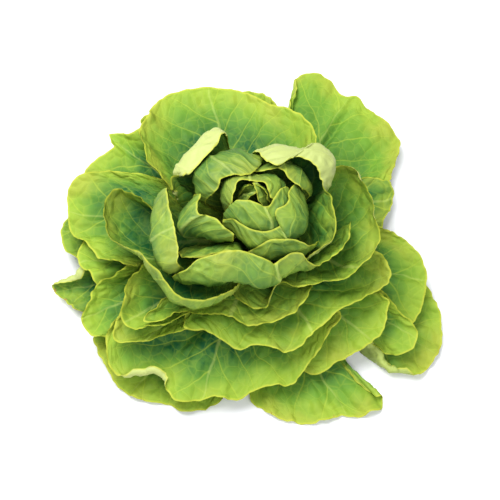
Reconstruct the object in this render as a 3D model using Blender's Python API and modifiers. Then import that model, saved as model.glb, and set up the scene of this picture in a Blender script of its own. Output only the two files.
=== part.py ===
"""Butterhead lettuce with its outer leaves open, in metres, +Z up.

The head stands on the cut face of its stem, whose centre is the origin, and its front is -Y.
Each leaf is a blade that grows from the stem. Its rim is given by stations, its ribs are smooth
curves from the stem to the rim, and each leaf is settled on the ones that grow outside it.
"""

import math

import bmesh
import bpy
import numpy as np

MM = 0.001

# The cut stem, in millimetres: radius and height up its side, from the cut face to the tip.
STEM_PROFILE = (
    (0, 0), (11.5, 0), (13, 1), (14.5, 4), (14.5, 8), (13, 15), (11, 23),
    (8.5, 32), (6, 40), (3, 46), (0, 48),
)
STEM_SIDE_START = 3
STEM_SIDES = 24
STEM_CLEARANCE = 0.5 * MM
MERGE_DISTANCE = 0.05 * MM

BLADE_THICKNESS = 0.8 * MM

# A leaf's place is 0 for the outermost and 1 for the innermost. Values in pairs hold for the leaves
# up to the first of these places and for the last leaf, and change evenly in between.
HEART_PLACES = (0.7, 1)

# Leaf bases clasp the stem by these angles to each side, and rise up it from the outermost leaf in.
# Ribs take off at this many degrees above level; the pulls shape them between stem and rim.
CLASPS = (32, 20)
LOWEST_BASE = 7 * MM
HIGHEST_BASE = 44 * MM
LOWEST_TAKEOFF = 8
HIGHEST_TAKEOFF = 70
BASE_PULL = 0.42
RIM_PULL = 0.36
FAN_OUT = 1.8

# A rib's belly is this much of t * t * (1 - t), which makes it 1 at two thirds of the rib.
BELLY_SHAPE = 27 / 4

# A leaf is tested against the others at this many points. Its own grid keeps every second or
# third of them, by the length of its rim.
POINTS_ACROSS = 37
POINTS_ALONG = 13
SHORTEST_STEP = 4
WIDE_RIM = 150 * MM
WIDE_STEP = 2
NARROW_STEP = 3
ROW_STEP = 2

# Middle surfaces keep these gaps, the smaller one at the stem. A point that lies deeper than the
# depths or further aside than the reaches belongs beside or beyond the other leaf.
BASE_GAP = 1.1 * MM
BLADE_GAP = 2.6 * MM
GAP_GROWTH = 3
SETTLE_ROUNDS = 14
PLAIN_ROUNDS = 4
LONGEST_MOVE = 6 * MM
SETTLED = 0.3 * MM
MOST_BENDS = (40 * MM, 8 * MM)
FLOOR_CLEARANCE = 0.9 * MM
INNER_REACH = 8 * MM
EDGE_REACH = 3 * MM
INNER_DEPTHS = (20 * MM, 9 * MM)
EDGE_DEPTH = 8 * MM
NEAR_BOX = 22 * MM
FACING_ALIKE = 0.1

# Low, even waves of the rim: height of a wave for the outermost and the innermost leaf.
WAVE_HEIGHT_OUTER = 1.6 * MM
WAVE_HEIGHT_INNER = 0.5 * MM
WAVE_LENGTH = 34 * MM
WAVE_START = 0.55
WAVE_GROWTH = 1.5
WAVE_TURN = 5

LEAF_GREENS = ((0.20, 0.36, 0.035), (0.36, 0.50, 0.08), (0.52, 0.62, 0.16))
STEM_COLOUR = (0.62, 0.62, 0.36)

# Each leaf: name, the direction it grows in, how far its rim leans along x and y in mm, and its
# rim from one side to the other as (direction, distance from the axis in mm, height in mm, slope
# of the blade there in degrees, and in some how far the rib bellies outwards in mm).
# Directions are degrees from +X towards +Y. A slope over 90 means the blade leans back inwards.
LEAVES = (
    ("outer_leaf_01", 290, (0, 0), (
        (315, 86, 8, 0), (310, 108, 8, 0), (306, 124, 8, 0), (308, 158, 3, -5), (302, 157, 3, 0),
        (297, 149, 4, 5), (294, 148, 4, 0), (288, 146, 3, 0), (281, 140, 3, 0), (275, 131, 3, 0),
        (269, 119, 5, 5), (264, 95, 7, 5),
    )),
    ("outer_leaf_02", 190, (0, 0), (
        (212, 88, 10, 5), (206, 110, 8, 0), (200, 142, 8, -5), (196, 148, 8, 0), (191, 156, 12, 10),
        (188, 140, 17, 10), (184, 108, 16, 15), (177, 86, 15, 17),
    )),
    ("outer_leaf_03", 57, (0, 0), (
        (24, 94, 12, 4), (28, 118, 12, 0), (34, 137, 12, -5), (40, 155, 12, 5), (46, 160, 12, 0),
        (56, 163, 12, -5), (59, 166, 14, 10), (62, 161, 14, 0), (68, 170, 14, 0), (74, 171, 15, 0),
        (77, 162, 16, 10), (76, 142, 20, 15), (80, 104, 22, 20), (84, 83, 18, 20),
    )),
    ("outer_leaf_04", 240, (0, 0), (
        (266, 94, 8, 2), (262, 118, 7, 0), (255, 132, 4, 0), (248, 140, 3, -5), (243, 139, 4, 5),
        (236, 146, 3, 0), (229, 149, 4, 0), (223, 147, 5, 5), (216, 143, 7, 0), (211, 138, 9, 5),
        (204, 112, 12, 10), (200, 90, 13, 10),
    )),
    ("outer_leaf_05", 325, (0, 0), (
        (300, 83, 12, 7), (306, 104, 12, 5), (316, 122, 16, 40), (316, 142, 14, 60), (319, 158, 6, 20),
        (326, 163, 5, -5), (332, 162, 4, 0), (338, 156, 6, 5), (343, 148, 8, 5), (350, 134, 10, 5),
        (0, 110, 12, 5), (3, 88, 13, 7),
    )),
    ("outer_leaf_06", 170, (0, 0), (
        (146, 84, 16, 9), (150, 105, 16, 5), (160, 135, 15, 0), (168, 147, 14, 5), (173, 151, 12, 0),
        (178, 146, 12, 5), (184, 132, 14, 10), (194, 96, 16, 10), (199, 77, 16, 12),
    )),
    ("outer_leaf_07", 95, (0, 0), (
        (66, 76, 21, 17), (72, 95, 24, 15), (80, 124, 28, 10), (86, 136, 27, 30), (91, 139, 26, 0),
        (97, 134, 27, 10), (106, 120, 26, 10), (120, 90, 24, 15), (126, 72, 21, 18),
    )),
    ("outer_leaf_08", 15, (0, 0), (
        (346, 67, 14, 13), (352, 84, 14, 10), (4, 98, 12, 5), (14, 107, 10, 5), (19, 117, 8, 0),
        (24, 124, 8, 5), (29, 123, 10, 0), (34, 112, 14, 10), (44, 80, 18, 15), (50, 64, 18, 18),
    )),
    ("outer_leaf_09", 190, (0, 0), (
        (217, 77, 20, 18), (212, 96, 22, 15), (204, 116, 24, 10), (197, 124, 28, 20),
        (193, 126, 30, 10), (187, 134, 24, 0), (182, 132, 24, 5), (174, 122, 24, 10), (164, 96, 24, 15),
        (158, 77, 22, 17),
    )),
    ("outer_leaf_10", 210, (0, 0), (
        (232, 86, 21, 12), (226, 108, 20, 10), (217, 132, 20, 15), (214, 141, 19, 0), (208, 144, 24, 5),
        (204, 136, 29, 20), (201, 126, 36, 30), (198, 110, 40, 40), (196, 90, 40, 40),
        (191, 72, 34, 35),
    )),
    ("outer_leaf_11", 345, (0, 0), (
        (317, 78, 17, 12), (322, 98, 16, 10), (330, 133, 15, 0), (337, 138, 17, 5), (344, 137, 19, 0),
        (350, 135, 21, 10), (356, 129, 24, 5), (2, 113, 30, 20), (6, 99, 34, 25), (16, 74, 32, 30),
        (22, 59, 28, 30),
    )),
    ("outer_leaf_12", 137, (0, 0), (
        (113, 83, 29, 22), (118, 104, 34, 20), (126, 130, 46, 20), (131, 131, 49, 30),
        (134, 125, 48, 10), (139, 131, 46, 20), (142, 142, 42, 10), (145, 132, 44, 25),
        (151, 138, 41, 10), (157, 142, 37, 0), (160, 134, 38, 15), (166, 104, 34, 20),
        (171, 83, 30, 22),
    )),
    ("outer_leaf_13", 332, (0, 0), (
        (307, 80, 14, 14), (312, 100, 12, 10), (319, 138, 9, 5), (324, 147, 15, 10), (329, 143, 20, 15),
        (331, 135, 24, 25), (332, 124, 26, 30), (336, 104, 28, 30), (342, 84, 28, 30),
        (346, 67, 26, 30),
    )),
    ("outer_leaf_14", 315, (0, 0), (
        (287, 78, 17, 15), (289, 98, 16, 10), (294, 114, 14, 0), (302, 115, 16, 5), (309, 117, 20, 5),
        (315, 121, 24, 10), (320, 124, 28, 15), (324, 122, 32, 20), (327, 118, 36, 25),
        (331, 117, 38, 30), (335, 102, 38, 35), (341, 84, 36, 35), (347, 67, 33, 35),
    )),
    ("outer_leaf_15", 258, (0, 0), (
        (217, 85, 31, 25), (214, 106, 34, 25), (217, 132, 30, 20), (222, 144, 25, 10),
        (228, 147, 21, 10), (233, 141, 24, 25), (237, 134, 27, 35), (241, 134, 23, 15),
        (246, 139, 18, 0), (252, 133, 17, 0), (257, 127, 17, 5), (264, 126, 15, 0), (271, 119, 18, 5),
        (279, 117, 20, 10), (284, 118, 19, 10), (289, 114, 21, 5), (294, 107, 25, 15),
        (300, 102, 30, 20), (308, 98, 36, 30), (313, 94, 40, 35), (316, 75, 37, 35),
    )),
    ("outer_leaf_16", 170, (0, 0), (
        (198, 78, 38, 30), (196, 98, 44, 30), (189, 117, 37, 15), (182, 127, 33, 5), (176, 140, 28, 0),
        (170, 144, 31, 5), (165, 148, 32, 0), (159, 144, 34, 5), (156, 132, 37, 15), (150, 104, 38, 25),
        (145, 83, 34, 27),
    )),
    ("outer_leaf_17", 105, (0, 0), (
        (46, 64, 56, 47), (52, 80, 74, 50), (60, 90, 70, 45), (67, 99, 65, 40), (74, 104, 61, 35),
        (83, 108, 57, 25), (94, 121, 54, 20), (101, 127, 52, 20), (107, 132, 51, 25),
        (114, 136, 49, 15), (121, 136, 51, 20), (129, 128, 55, 25), (137, 117, 62, 40),
        (143, 104, 68, 45), (150, 85, 68, 45), (154, 68, 57, 42),
    )),
    ("cup_leaf_01", 230, (0, 0), (
        (264, 62, 37, 32), (256, 78, 43, 25), (246, 89, 45, 20), (238, 98, 44, 15), (232, 108, 42, 20),
        (228, 119, 38, 10), (224, 128, 36, 5), (220, 133, 38, 15), (215, 120, 42, 25),
        (210, 104, 45, 30), (208, 84, 44, 35),
    )),
    ("cup_leaf_02", 300, (0, 0), (
        (236, 80, 40, 30), (240, 100, 45, 30), (247, 94, 44, 15), (255, 95, 39, 10), (264, 98, 35, 0),
        (269, 93, 39, 20), (275, 94, 39, 10), (285, 100, 37, 5), (296, 97, 42, 15), (305, 93, 46, 20),
        (313, 93, 49, 25), (321, 99, 50, 30), (329, 104, 51, 35), (336, 112, 50, 20),
        (341, 106, 57, 40), (346, 88, 62, 55), (352, 70, 55, 52),
    )),
    ("cup_leaf_03", 222, (0, 0), (
        (242, 77, 45, 42), (236, 96, 48, 40), (229, 112, 49, 30), (224, 121, 48, 25),
        (219, 122, 51, 35), (213, 112, 58, 50), (206, 94, 62, 60), (202, 75, 56, 56),
    )),
    ("cup_leaf_04", 265, (0, 0), (
        (224, 91, 47, 38), (226, 114, 49, 30), (232, 104, 51, 30), (239, 93, 54, 35), (246, 87, 56, 35),
        (254, 82, 56, 30), (262, 81, 54, 30), (272, 82, 52, 30), (282, 82, 54, 35), (290, 80, 57, 40),
        (298, 77, 60, 50), (308, 72, 64, 60), (315, 58, 57, 60),
    )),
    ("cup_leaf_05", 345, (0, 0), (
        (253, 51, 53, 50), (259, 64, 58, 50), (265, 69, 56, 30), (272, 71, 55, 25), (279, 71, 57, 40),
        (283, 63, 64, 80), (289, 61, 67, 60), (298, 65, 66, 40), (308, 74, 66, 40), (318, 83, 66, 45),
        (328, 90, 67, 50), (338, 96, 69, 60), (348, 97, 72, 75), (358, 92, 75, 85), (8, 88, 76, 90),
        (18, 87, 76, 95), (26, 82, 76, 110), (33, 68, 76, 90), (39, 54, 69, 78),
    )),
    ("cup_leaf_06", 200, (0, 0), (
        (260, 59, 68, 104), (251, 74, 76, 120), (244, 84, 79, 125), (236, 88, 80, 125),
        (228, 88, 82, 125), (219, 87, 84, 125), (208, 88, 80, 115), (199, 93, 73, 100),
        (192, 102, 68, 85), (186, 110, 66, 75), (180, 112, 66, 70), (174, 110, 68, 70),
        (167, 104, 71, 70), (168, 95, 71, 65), (172, 80, 66, 60), (176, 64, 57, 55),
    )),
    ("cup_leaf_07", 292, (0, 0), (
        (224, 81, 72, 90), (228, 75, 82, 105, 4), (233, 63, 91, 115, 12), (243, 52, 93, 120, 17),
        (252, 47, 94, 122, 18), (263, 45, 94, 122, 18), (275, 47, 92, 120, 17), (284, 50, 88, 115, 13),
        (288, 52, 85, 110, 10), (295, 51, 88, 108, 8), (304, 52, 91, 108, 8), (310, 56, 90, 105, 7),
        (312, 62, 86, 90, 4), (317, 68, 82, 60), (325, 73, 82, 45), (335, 74, 82, 45),
        (345, 74, 80, 50), (355, 74, 72, 60),
    )),
    ("cup_leaf_08", 195, (0, 0), (
        (164, 66, 80, 92), (173, 62, 91, 115, 8), (188, 60, 93, 130, 12), (197, 60, 93, 135, 14),
        (205, 61, 92, 138, 15), (213, 65, 91, 138, 15), (219, 70, 89, 135, 14), (223, 76, 86, 130, 12),
        (225, 80, 82, 115, 6), (225, 77, 72, 100),
    )),
    ("cup_leaf_09", 125, (0, 0), (
        (170, 63, 78, 85), (169, 67, 87, 75), (168, 71, 90, 60), (163, 70, 92, 60), (160, 64, 93, 80),
        (158, 57, 95, 120, 4), (157, 50, 98, 155, 8), (139, 46, 100, 165, 9), (121, 50, 101, 165, 9),
        (113, 56, 99, 150, 5), (108, 59, 88, 110),
    )),
    ("cup_leaf_10", 30, (0, 0), (
        (90, 40, 90, 105), (83, 36, 100, 130, 4), (69, 28, 104, 165, 12), (49, 27, 106, 172, 16),
        (43, 36, 107, 172, 16), (43, 41, 107, 170, 16), (35, 47, 106, 165, 14), (26, 50, 105, 150, 12),
        (17, 51, 103, 130, 6), (6, 54, 101, 95), (354, 58, 98, 70), (345, 63, 94, 60),
        (339, 67, 91, 60), (334, 66, 88, 70), (328, 63, 86, 85), (318, 62, 82, 90), (317, 57, 72, 90),
    )),
    ("heart_leaf_01", 255, (0, 0), (
        (213, 64, 64, 40), (221, 66, 74, 15), (225, 61, 78, 8), (229, 55, 80, 5), (237, 48, 83, 10),
        (247, 43, 86, 25), (258, 40, 88, 60), (266, 40, 89, 90, 3), (280, 38, 92, 105, 5),
        (294, 38, 93, 110, 6), (308, 45, 93, 110, 6), (314, 55, 90, 105, 5), (318, 62, 84, 95),
        (327, 62, 74, 90),
    )),
    ("heart_leaf_02", 205, (0, 0), (
        (169, 44, 86, 95), (175, 37, 95, 112, 6), (193, 40, 98, 130, 12), (201, 41, 98, 132, 13),
        (206, 37, 97, 130, 10), (218, 33, 96, 125, 8), (238, 36, 95, 115, 5), (248, 38, 92, 105, 2),
    )),
    ("heart_leaf_03", 120, (0, 0), (
        (177, 33, 94, 112, 3), (175, 30, 99, 140, 9), (163, 27, 102, 155, 13), (155, 27, 103, 165, 15),
        (141, 22, 104, 172, 17), (114, 19, 105, 175, 18), (95, 22, 105, 175, 18),
        (82, 29, 103, 160, 12), (78, 34, 100, 140, 7),
    )),
    ("heart_leaf_04", 50, (0, 0), (
        (97, 24, 96, 120, 2), (75, 24, 101, 145, 5), (54, 26, 102, 150, 7), (43, 29, 102, 150, 8),
        (28, 29, 102, 150, 9), (14, 34, 100, 136, 7), (11, 37, 96, 118, 3),
    )),
    ("heart_leaf_05", 300, (0, 0), (
        (226, 30, 96, 106), (237, 26, 98, 112, 1), (254, 28, 98, 118, 3), (273, 32, 98, 120, 7),
        (288, 35, 98, 120, 8), (299, 36, 99, 125, 10), (304, 36, 101, 130, 12), (307, 29, 104, 135, 13),
        (316, 25, 105, 138, 13), (332, 27, 104, 135, 13), (345, 28, 103, 130, 11), (0, 28, 102, 125, 9),
        (11, 32, 100, 118, 5), (17, 36, 97, 108, 2),
    )),
    ("heart_leaf_06", 270, (0, 0), (
        (218, 21, 101, 114, 1), (219, 16, 106, 145, 4), (256, 12, 108, 155, 5), (286, 14, 108, 155, 5),
        (304, 18, 107, 150, 5), (316, 19, 107, 150, 5), (339, 18, 107, 145, 5), (5, 21, 106, 132, 4),
        (16, 26, 102, 118, 1),
    )),
    ("heart_leaf_07", 85, (0, 0), (
        (202, 16, 102, 112, 1), (167, 14, 107, 140, 3), (131, 16, 108, 148, 4), (99, 16, 109, 150, 4),
        (58, 14, 110, 152, 5), (12, 14, 110, 152, 5), (346, 18, 106, 130, 3),
    )),
    ("heart_leaf_08", 300, (-4, 6), (
        (304, 18, 101, 105, 1), (315, 10, 105, 125, 2), (14, 4, 105, 132, 2), (0, 8, 105, 130, 2),
        (347, 13, 103, 122, 2), (328, 19, 101, 108, 1),
    )),
    ("heart_leaf_09", 200, (3, 0), (
        (151, 10, 100, 106, 1), (144, 9, 103, 122, 2), (143, 5, 104, 124, 2), (217, 5, 102, 120, 2),
        (225, 10, 100, 106, 1),
    )),
)


def shared(first, last, share):
    return first + (last - first) * share


def clear_scene():
    for item in list(bpy.data.objects):
        bpy.data.objects.remove(item)


def plain_material(name, colour, roughness):
    material = bpy.data.materials.new(name)
    material.use_nodes = True
    shader = material.node_tree.nodes["Principled BSDF"]
    shader.inputs["Base Color"].default_value = (*colour, 1)
    shader.inputs["Roughness"].default_value = roughness
    shader.inputs["Metallic"].default_value = 0
    return material


def stem_radius(height):
    """Radius of the stem's side at a height, both in metres."""
    side = STEM_PROFILE[STEM_SIDE_START:]
    return np.interp(height, [z * MM for _, z in side], [r * MM for r, _ in side])


def rim_curve(stations, count):
    """Rows evenly along the smooth curve through the stations, and the rim's length in metres."""
    rows = np.array([(*station, 0)[:5] for station in stations], float)
    rows[:, 0] = np.degrees(np.unwrap(np.radians(rows[:, 0])))
    if rows[-1, 0] < rows[0, 0]:
        rows = rows[::-1]
    turn = np.radians(rows[:, 0])
    places = np.stack([rows[:, 1] * np.cos(turn), rows[:, 1] * np.sin(turn), rows[:, 2]], 1)
    steps = np.linalg.norm(np.diff(places, axis=0), axis=1)
    at = np.concatenate([[0], np.cumsum(np.maximum(steps, SHORTEST_STEP))])
    slope = np.empty_like(rows)
    slope[1:-1] = (rows[2:] - rows[:-2]) / (at[2:] - at[:-2])[:, None]
    slope[0] = (rows[1] - rows[0]) / (at[1] - at[0])
    slope[-1] = (rows[-1] - rows[-2]) / (at[-1] - at[-2])
    where = np.linspace(0, at[-1], count)
    k = np.clip(np.searchsorted(at, where, side="right") - 1, 0, len(at) - 2)
    width = (at[k + 1] - at[k])[:, None]
    t = (where - at[k])[:, None] / width
    curve = (2 * t**3 - 3 * t**2 + 1) * rows[k]
    curve += (t**3 - 2 * t**2 + t) * width * slope[k]
    curve += (3 * t**2 - 2 * t**3) * rows[k + 1]
    curve += (t**3 - t**2) * width * slope[k + 1]
    return curve, at[-1] * MM


def upper_normals(grid):
    """Unit normals of a leaf's grid of points, on its inner, upper face."""
    across = np.gradient(grid, axis=0)
    along = np.gradient(grid, axis=1)
    normals = np.cross(along, across)
    return normals / np.maximum(np.linalg.norm(normals, axis=-1, keepdims=True), 1e-12)


def unsettled_leaf(direction, lean, stations, place, columns, t):
    """A leaf's middle surface before it is settled: columns of points at shares t of its ribs."""
    rim, rim_length = rim_curve(stations, columns)
    direction += 360 * round((rim[:, 0].mean() - direction) / 360)
    clasp = np.interp(place, HEART_PLACES, CLASPS)
    base_direction = direction + np.linspace(-clasp, clasp, columns)
    base_height = shared(LOWEST_BASE, HIGHEST_BASE, place)
    base_radius = stem_radius(base_height) + STEM_CLEARANCE
    takeoff = math.radians(shared(LOWEST_TAKEOFF, HIGHEST_TAKEOFF, place))
    fanned = 1 - (1 - t) ** FAN_OUT
    turn = np.radians(base_direction[:, None] + (rim[:, :1] - base_direction[:, None]) * fanned)

    start = np.tile([base_radius, base_height], (columns, 1))
    end = rim[:, 1:3] * MM
    slope = np.radians(rim[:, 3])
    reach = np.linalg.norm(end - start, axis=1)[:, None]
    near_start = start + BASE_PULL * reach * np.array([math.cos(takeoff), math.sin(takeoff)])
    near_end = end - RIM_PULL * reach * np.stack([np.cos(slope), np.sin(slope)], 1)
    shares = ((1 - t) ** 3, 3 * t * (1 - t) ** 2, 3 * t**2 * (1 - t), t**3)
    ribs = sum(s[None, :, None] * p[:, None] for s, p in zip(shares, (start, near_start, near_end, end)))
    ribs[..., 0] += rim[:, 4:] * MM * BELLY_SHAPE * t**2 * (1 - t)
    grid = np.stack([ribs[..., 0] * np.cos(turn), ribs[..., 0] * np.sin(turn), ribs[..., 1]], -1)
    grid[..., :2] += t[:, None] * np.array(lean) * MM

    waves = max(2, round(rim_length / WAVE_LENGTH))
    phase = 2 * math.pi * waves * np.linspace(0, 1, columns) + WAVE_TURN * direction
    growth = np.clip((t - WAVE_START) / (1 - WAVE_START), 0, 1) ** WAVE_GROWTH
    height = shared(WAVE_HEIGHT_OUTER, WAVE_HEIGHT_INNER, place)
    grid += height * (np.sin(phase)[:, None] * growth)[..., None] * upper_normals(grid)
    return grid, rim_length


def between(grid, steps_across, steps_along):
    """Points of a leaf's flat faces: its grid with evenly spaced points put in between."""
    across = np.linspace(0, grid.shape[0] - 1, (grid.shape[0] - 1) * steps_across + 1)
    along = np.linspace(0, grid.shape[1] - 1, (grid.shape[1] - 1) * steps_along + 1)
    i = np.minimum(across.astype(int), grid.shape[0] - 2)
    j = np.minimum(along.astype(int), grid.shape[1] - 2)
    u = (across - i)[:, None, None]
    v = (along - j)[None, :, None]
    nearer = (1 - v) * grid[i][:, j] + v * grid[i][:, j + 1]
    further = (1 - v) * grid[i + 1][:, j] + v * grid[i + 1][:, j + 1]
    return (1 - u) * nearer + u * further


def height_over(points, others, normals, squares):
    """Each point's nearest other point, its height over the face there and how far aside it is."""
    nearest = squares.argmin(1)
    away = points - others[nearest]
    height = (away * normals[nearest]).sum(1)
    aside = np.linalg.norm(away - height[:, None] * normals[nearest], axis=1)
    return nearest, height, aside


def near_to(points, others):
    """Which points lie in or near the box round the others."""
    return ((points > others.min(0) - NEAR_BOX) & (points < others.max(0) + NEAR_BOX)).all(1)


def pushes(points, normals, at_edge, gaps, deep, settled):
    """The move that takes each point of a leaf to the inner side of every settled leaf."""
    move = np.zeros_like(points)
    longest = np.zeros(len(points))
    for whole_leaf in settled:
        near = np.flatnonzero(near_to(points, whole_leaf[0]))
        there = near_to(whole_leaf[0], points)
        if not len(near) or not there.any():
            continue
        others, other_normals, other_at_edge = (values[there] for values in whole_leaf)
        mine, facing, room = points[near], normals[near], gaps[near]
        squares = (mine**2).sum(1)[:, None] + (others**2).sum(1)[None] - 2 * mine @ others.T
        nearest, height, aside = height_over(mine, others, other_normals, squares)
        edge = other_at_edge[nearest]
        within = (aside < np.where(edge, EDGE_REACH, INNER_REACH)) & (height < room)
        within &= height > np.where(edge, -EDGE_DEPTH, -deep)
        within &= (facing * other_normals[nearest]).sum(1) > FACING_ALIKE
        need = np.where(within, room - height, 0)
        longer = need > longest[near]
        move[near[longer]] = need[longer, None] * other_normals[nearest][longer]
        longest[near] = np.maximum(longest[near], need)

        nearest, height, aside = height_over(others, mine, facing, squares.T)
        edge = at_edge[near][nearest]
        within = (aside < np.where(edge, EDGE_REACH, INNER_REACH)) & (height > -room[nearest])
        within &= (height < EDGE_DEPTH) & ((other_normals * facing[nearest]).sum(1) > FACING_ALIKE)
        point = near[nearest[within]]
        need = height[within] + gaps[point]
        rising = np.argsort(need, kind="stable")
        rising = rising[need[rising] > longest[point[rising]]]
        move[point[rising]] = need[rising, None] * normals[point[rising]]
        np.maximum.at(longest, point, need)
    return move


def gathered(move, steps_across, steps_along):
    """At each point of the grid, the longest move among the points around it."""
    length = np.linalg.norm(move, axis=-1)
    across = np.arange(0, move.shape[0], steps_across)
    along = np.arange(0, move.shape[1], steps_along)
    kept = np.zeros((len(across), len(along), 3))
    longest = np.full((len(across), len(along)), -1.0)
    for di in range(1 - steps_across, steps_across):
        for dj in range(1 - steps_along, steps_along):
            i = np.clip(across + di, 0, move.shape[0] - 1)
            j = np.clip(along + dj, 0, move.shape[1] - 1)
            found = length[i][:, j]
            longer = found > longest
            kept[longer] = move[i][:, j][longer]
            longest = np.maximum(longest, found)
    return kept


def evened(bend):
    """A leaf's bending shared with the points round each point, so that it bends and doesn't dent."""
    padded = np.concatenate([bend[:1], bend, bend[-1:]], 0)
    soft = 0.5 * bend + 0.25 * (padded[:-2] + padded[2:])
    padded = np.concatenate([soft[:, :1], soft, soft[:, -1:]], 1)
    return 0.5 * soft + 0.25 * (padded[:, :-2] + padded[:, 2:])


def settled_leaves():
    """Each leaf's name and grid, outermost first, with no leaf through another."""
    settled = []
    leaves = []
    for order, (name, direction, lean, stations) in enumerate(LEAVES):
        place = order / (len(LEAVES) - 1)
        even = np.linspace(0, 1, POINTS_ALONG)
        grid, rim_length = unsettled_leaf(direction, lean, stations, place, POINTS_ACROSS, even)
        step = WIDE_STEP if rim_length > WIDE_RIM else NARROW_STEP
        grid = grid[::step, ::ROW_STEP]
        shape = (POINTS_ACROSS, POINTS_ALONG)
        furthest = np.interp(place, HEART_PLACES, MOST_BENDS)
        deep = np.interp(place, HEART_PLACES, INNER_DEPTHS)
        growth = np.minimum(1, GAP_GROWTH * np.linspace(0, 1, POINTS_ALONG))
        gaps = np.tile(shared(BASE_GAP, BLADE_GAP, growth), POINTS_ACROSS)
        at_edge = np.zeros(shape, bool)
        at_edge[[0, -1]] = True
        at_edge[:, [0, -1]] = True
        at_edge = at_edge.reshape(-1)
        bend = np.zeros_like(grid)
        for turn in range(SETTLE_ROUNDS + 1):
            bent = grid + bend
            bent[..., 2] = np.maximum(bent[..., 2], FLOOR_CLEARANCE)
            points = between(bent, step, ROW_STEP)
            normals = upper_normals(points).reshape(-1, 3)
            points = points.reshape(-1, 3)
            move = pushes(points, normals, at_edge, gaps, deep, settled)
            length = np.linalg.norm(move, axis=1, keepdims=True)
            if turn == SETTLE_ROUNDS or length.max() < SETTLED:
                break
            move *= np.minimum(1, LONGEST_MOVE / np.maximum(length, 1e-9))
            bend += gathered(move.reshape(*shape, 3), step, ROW_STEP)
            if turn < SETTLE_ROUNDS - PLAIN_ROUNDS:
                bend = evened(bend)
            length = np.linalg.norm(bend, axis=-1, keepdims=True)
            bend *= np.minimum(1, furthest / np.maximum(length, 1e-9))
            bend[:, 0, :2] = 0
            bend[:, 0, 2] = abs(bend[:, 0, 2])
        settled.append((points, normals, at_edge))
        leaves.append((name, bent))
    return leaves


def add_object(name, mesh, material, collection):
    item = bpy.data.objects.new(name, mesh)
    mesh.materials.append(material)
    collection.objects.link(item)
    return item


def make_blade(name, grid, material, collection):
    """One leaf: a grid of faces, split into triangles and then thickened."""
    across, along = grid.shape[:2]
    blade = bmesh.new()
    bmesh.ops.create_grid(blade, x_segments=across - 1, y_segments=along - 1, size=1)
    for point in blade.verts:
        column = round((point.co.x + 1) / 2 * (across - 1))
        row = round((point.co.y + 1) / 2 * (along - 1))
        point.co = grid[column, row]
    bmesh.ops.triangulate(blade, faces=blade.faces, quad_method="SHORT_EDGE")
    bmesh.ops.recalc_face_normals(blade, faces=blade.faces)
    mesh = bpy.data.meshes.new(name)
    blade.to_mesh(mesh)
    blade.free()
    item = add_object(name, mesh, material, collection)
    thick = item.modifiers.new("Blade thickness", "SOLIDIFY")
    thick.thickness = BLADE_THICKNESS
    thick.offset = 0


def make_stem(collection):
    """The cut stem: its profile turned round the axis."""
    profile = bmesh.new()
    points = [profile.verts.new((radius * MM, 0, height * MM)) for radius, height in STEM_PROFILE]
    for lower, upper in zip(points, points[1:]):
        profile.edges.new((lower, upper))
    mesh = bpy.data.meshes.new("stem")
    profile.to_mesh(mesh)
    profile.free()
    item = add_object("stem", mesh, plain_material("Lettuce stem", STEM_COLOUR, 0.5), collection)
    turned = item.modifiers.new("Turned profile", "SCREW")
    turned.steps = STEM_SIDES
    turned.render_steps = STEM_SIDES
    turned.use_merge_vertices = True
    turned.merge_threshold = MERGE_DISTANCE
    turned.use_normal_calculate = True


def leaf_colour(share):
    greens = np.array(LEAF_GREENS)
    return tuple(np.interp(share, (0, 0.5, 1), greens[:, channel]) for channel in range(3))


def main():
    clear_scene()
    collection = bpy.data.collections.new("Butterhead lettuce")
    bpy.context.scene.collection.children.link(collection)
    make_stem(collection)
    leaves = settled_leaves()
    for order, (name, grid) in enumerate(leaves):
        colour = leaf_colour(order / (len(leaves) - 1))
        material = plain_material(name.replace("_", " ").capitalize(), colour, 0.45)
        make_blade(name, grid, material, collection)


main()
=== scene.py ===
"""Butterhead lettuce: its leaves and its cut stem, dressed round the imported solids, in metres.

The leaves are settled from the same stations as the solids, so that each piece lies where its node
does. A piece is a finer blade with ruffles at its rim, a relief of veins and puckers, and a
thin edge. Its finish follows the same veins.
"""

import functools
import math

import bpy
import numpy as np
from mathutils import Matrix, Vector


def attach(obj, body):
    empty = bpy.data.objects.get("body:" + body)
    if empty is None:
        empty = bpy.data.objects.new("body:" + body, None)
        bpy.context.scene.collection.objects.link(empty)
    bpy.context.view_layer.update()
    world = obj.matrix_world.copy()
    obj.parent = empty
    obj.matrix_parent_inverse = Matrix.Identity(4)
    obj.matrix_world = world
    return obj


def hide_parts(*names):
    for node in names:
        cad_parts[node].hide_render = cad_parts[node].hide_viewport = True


bl_info = {
    "name": "Butterhead lettuce",
    "version": (1, 0, 0),
    "blender": (4, 5, 0),
    "location": "View3D > Sidebar > Lettuce",
    "description": "Makes a head of butterhead lettuce with its outer leaves open",
    "category": "Add Mesh",
}

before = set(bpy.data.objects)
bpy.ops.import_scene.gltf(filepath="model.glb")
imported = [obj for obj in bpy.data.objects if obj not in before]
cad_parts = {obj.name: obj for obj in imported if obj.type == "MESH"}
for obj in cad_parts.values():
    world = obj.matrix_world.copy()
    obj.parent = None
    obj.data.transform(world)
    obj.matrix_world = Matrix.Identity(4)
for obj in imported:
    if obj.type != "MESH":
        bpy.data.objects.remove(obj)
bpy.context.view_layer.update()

MM = 0.001
TINY = 1e-12

NOISE = "ShaderNodeTexNoise"
CELLS = "ShaderNodeTexVoronoi"
MATH = "ShaderNodeMath"
VECTOR_MATH = "ShaderNodeVectorMath"
MAP_RANGE = "ShaderNodeMapRange"
MIX = "ShaderNodeMix"
SMOOTH = "SMOOTHSTEP"

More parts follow.
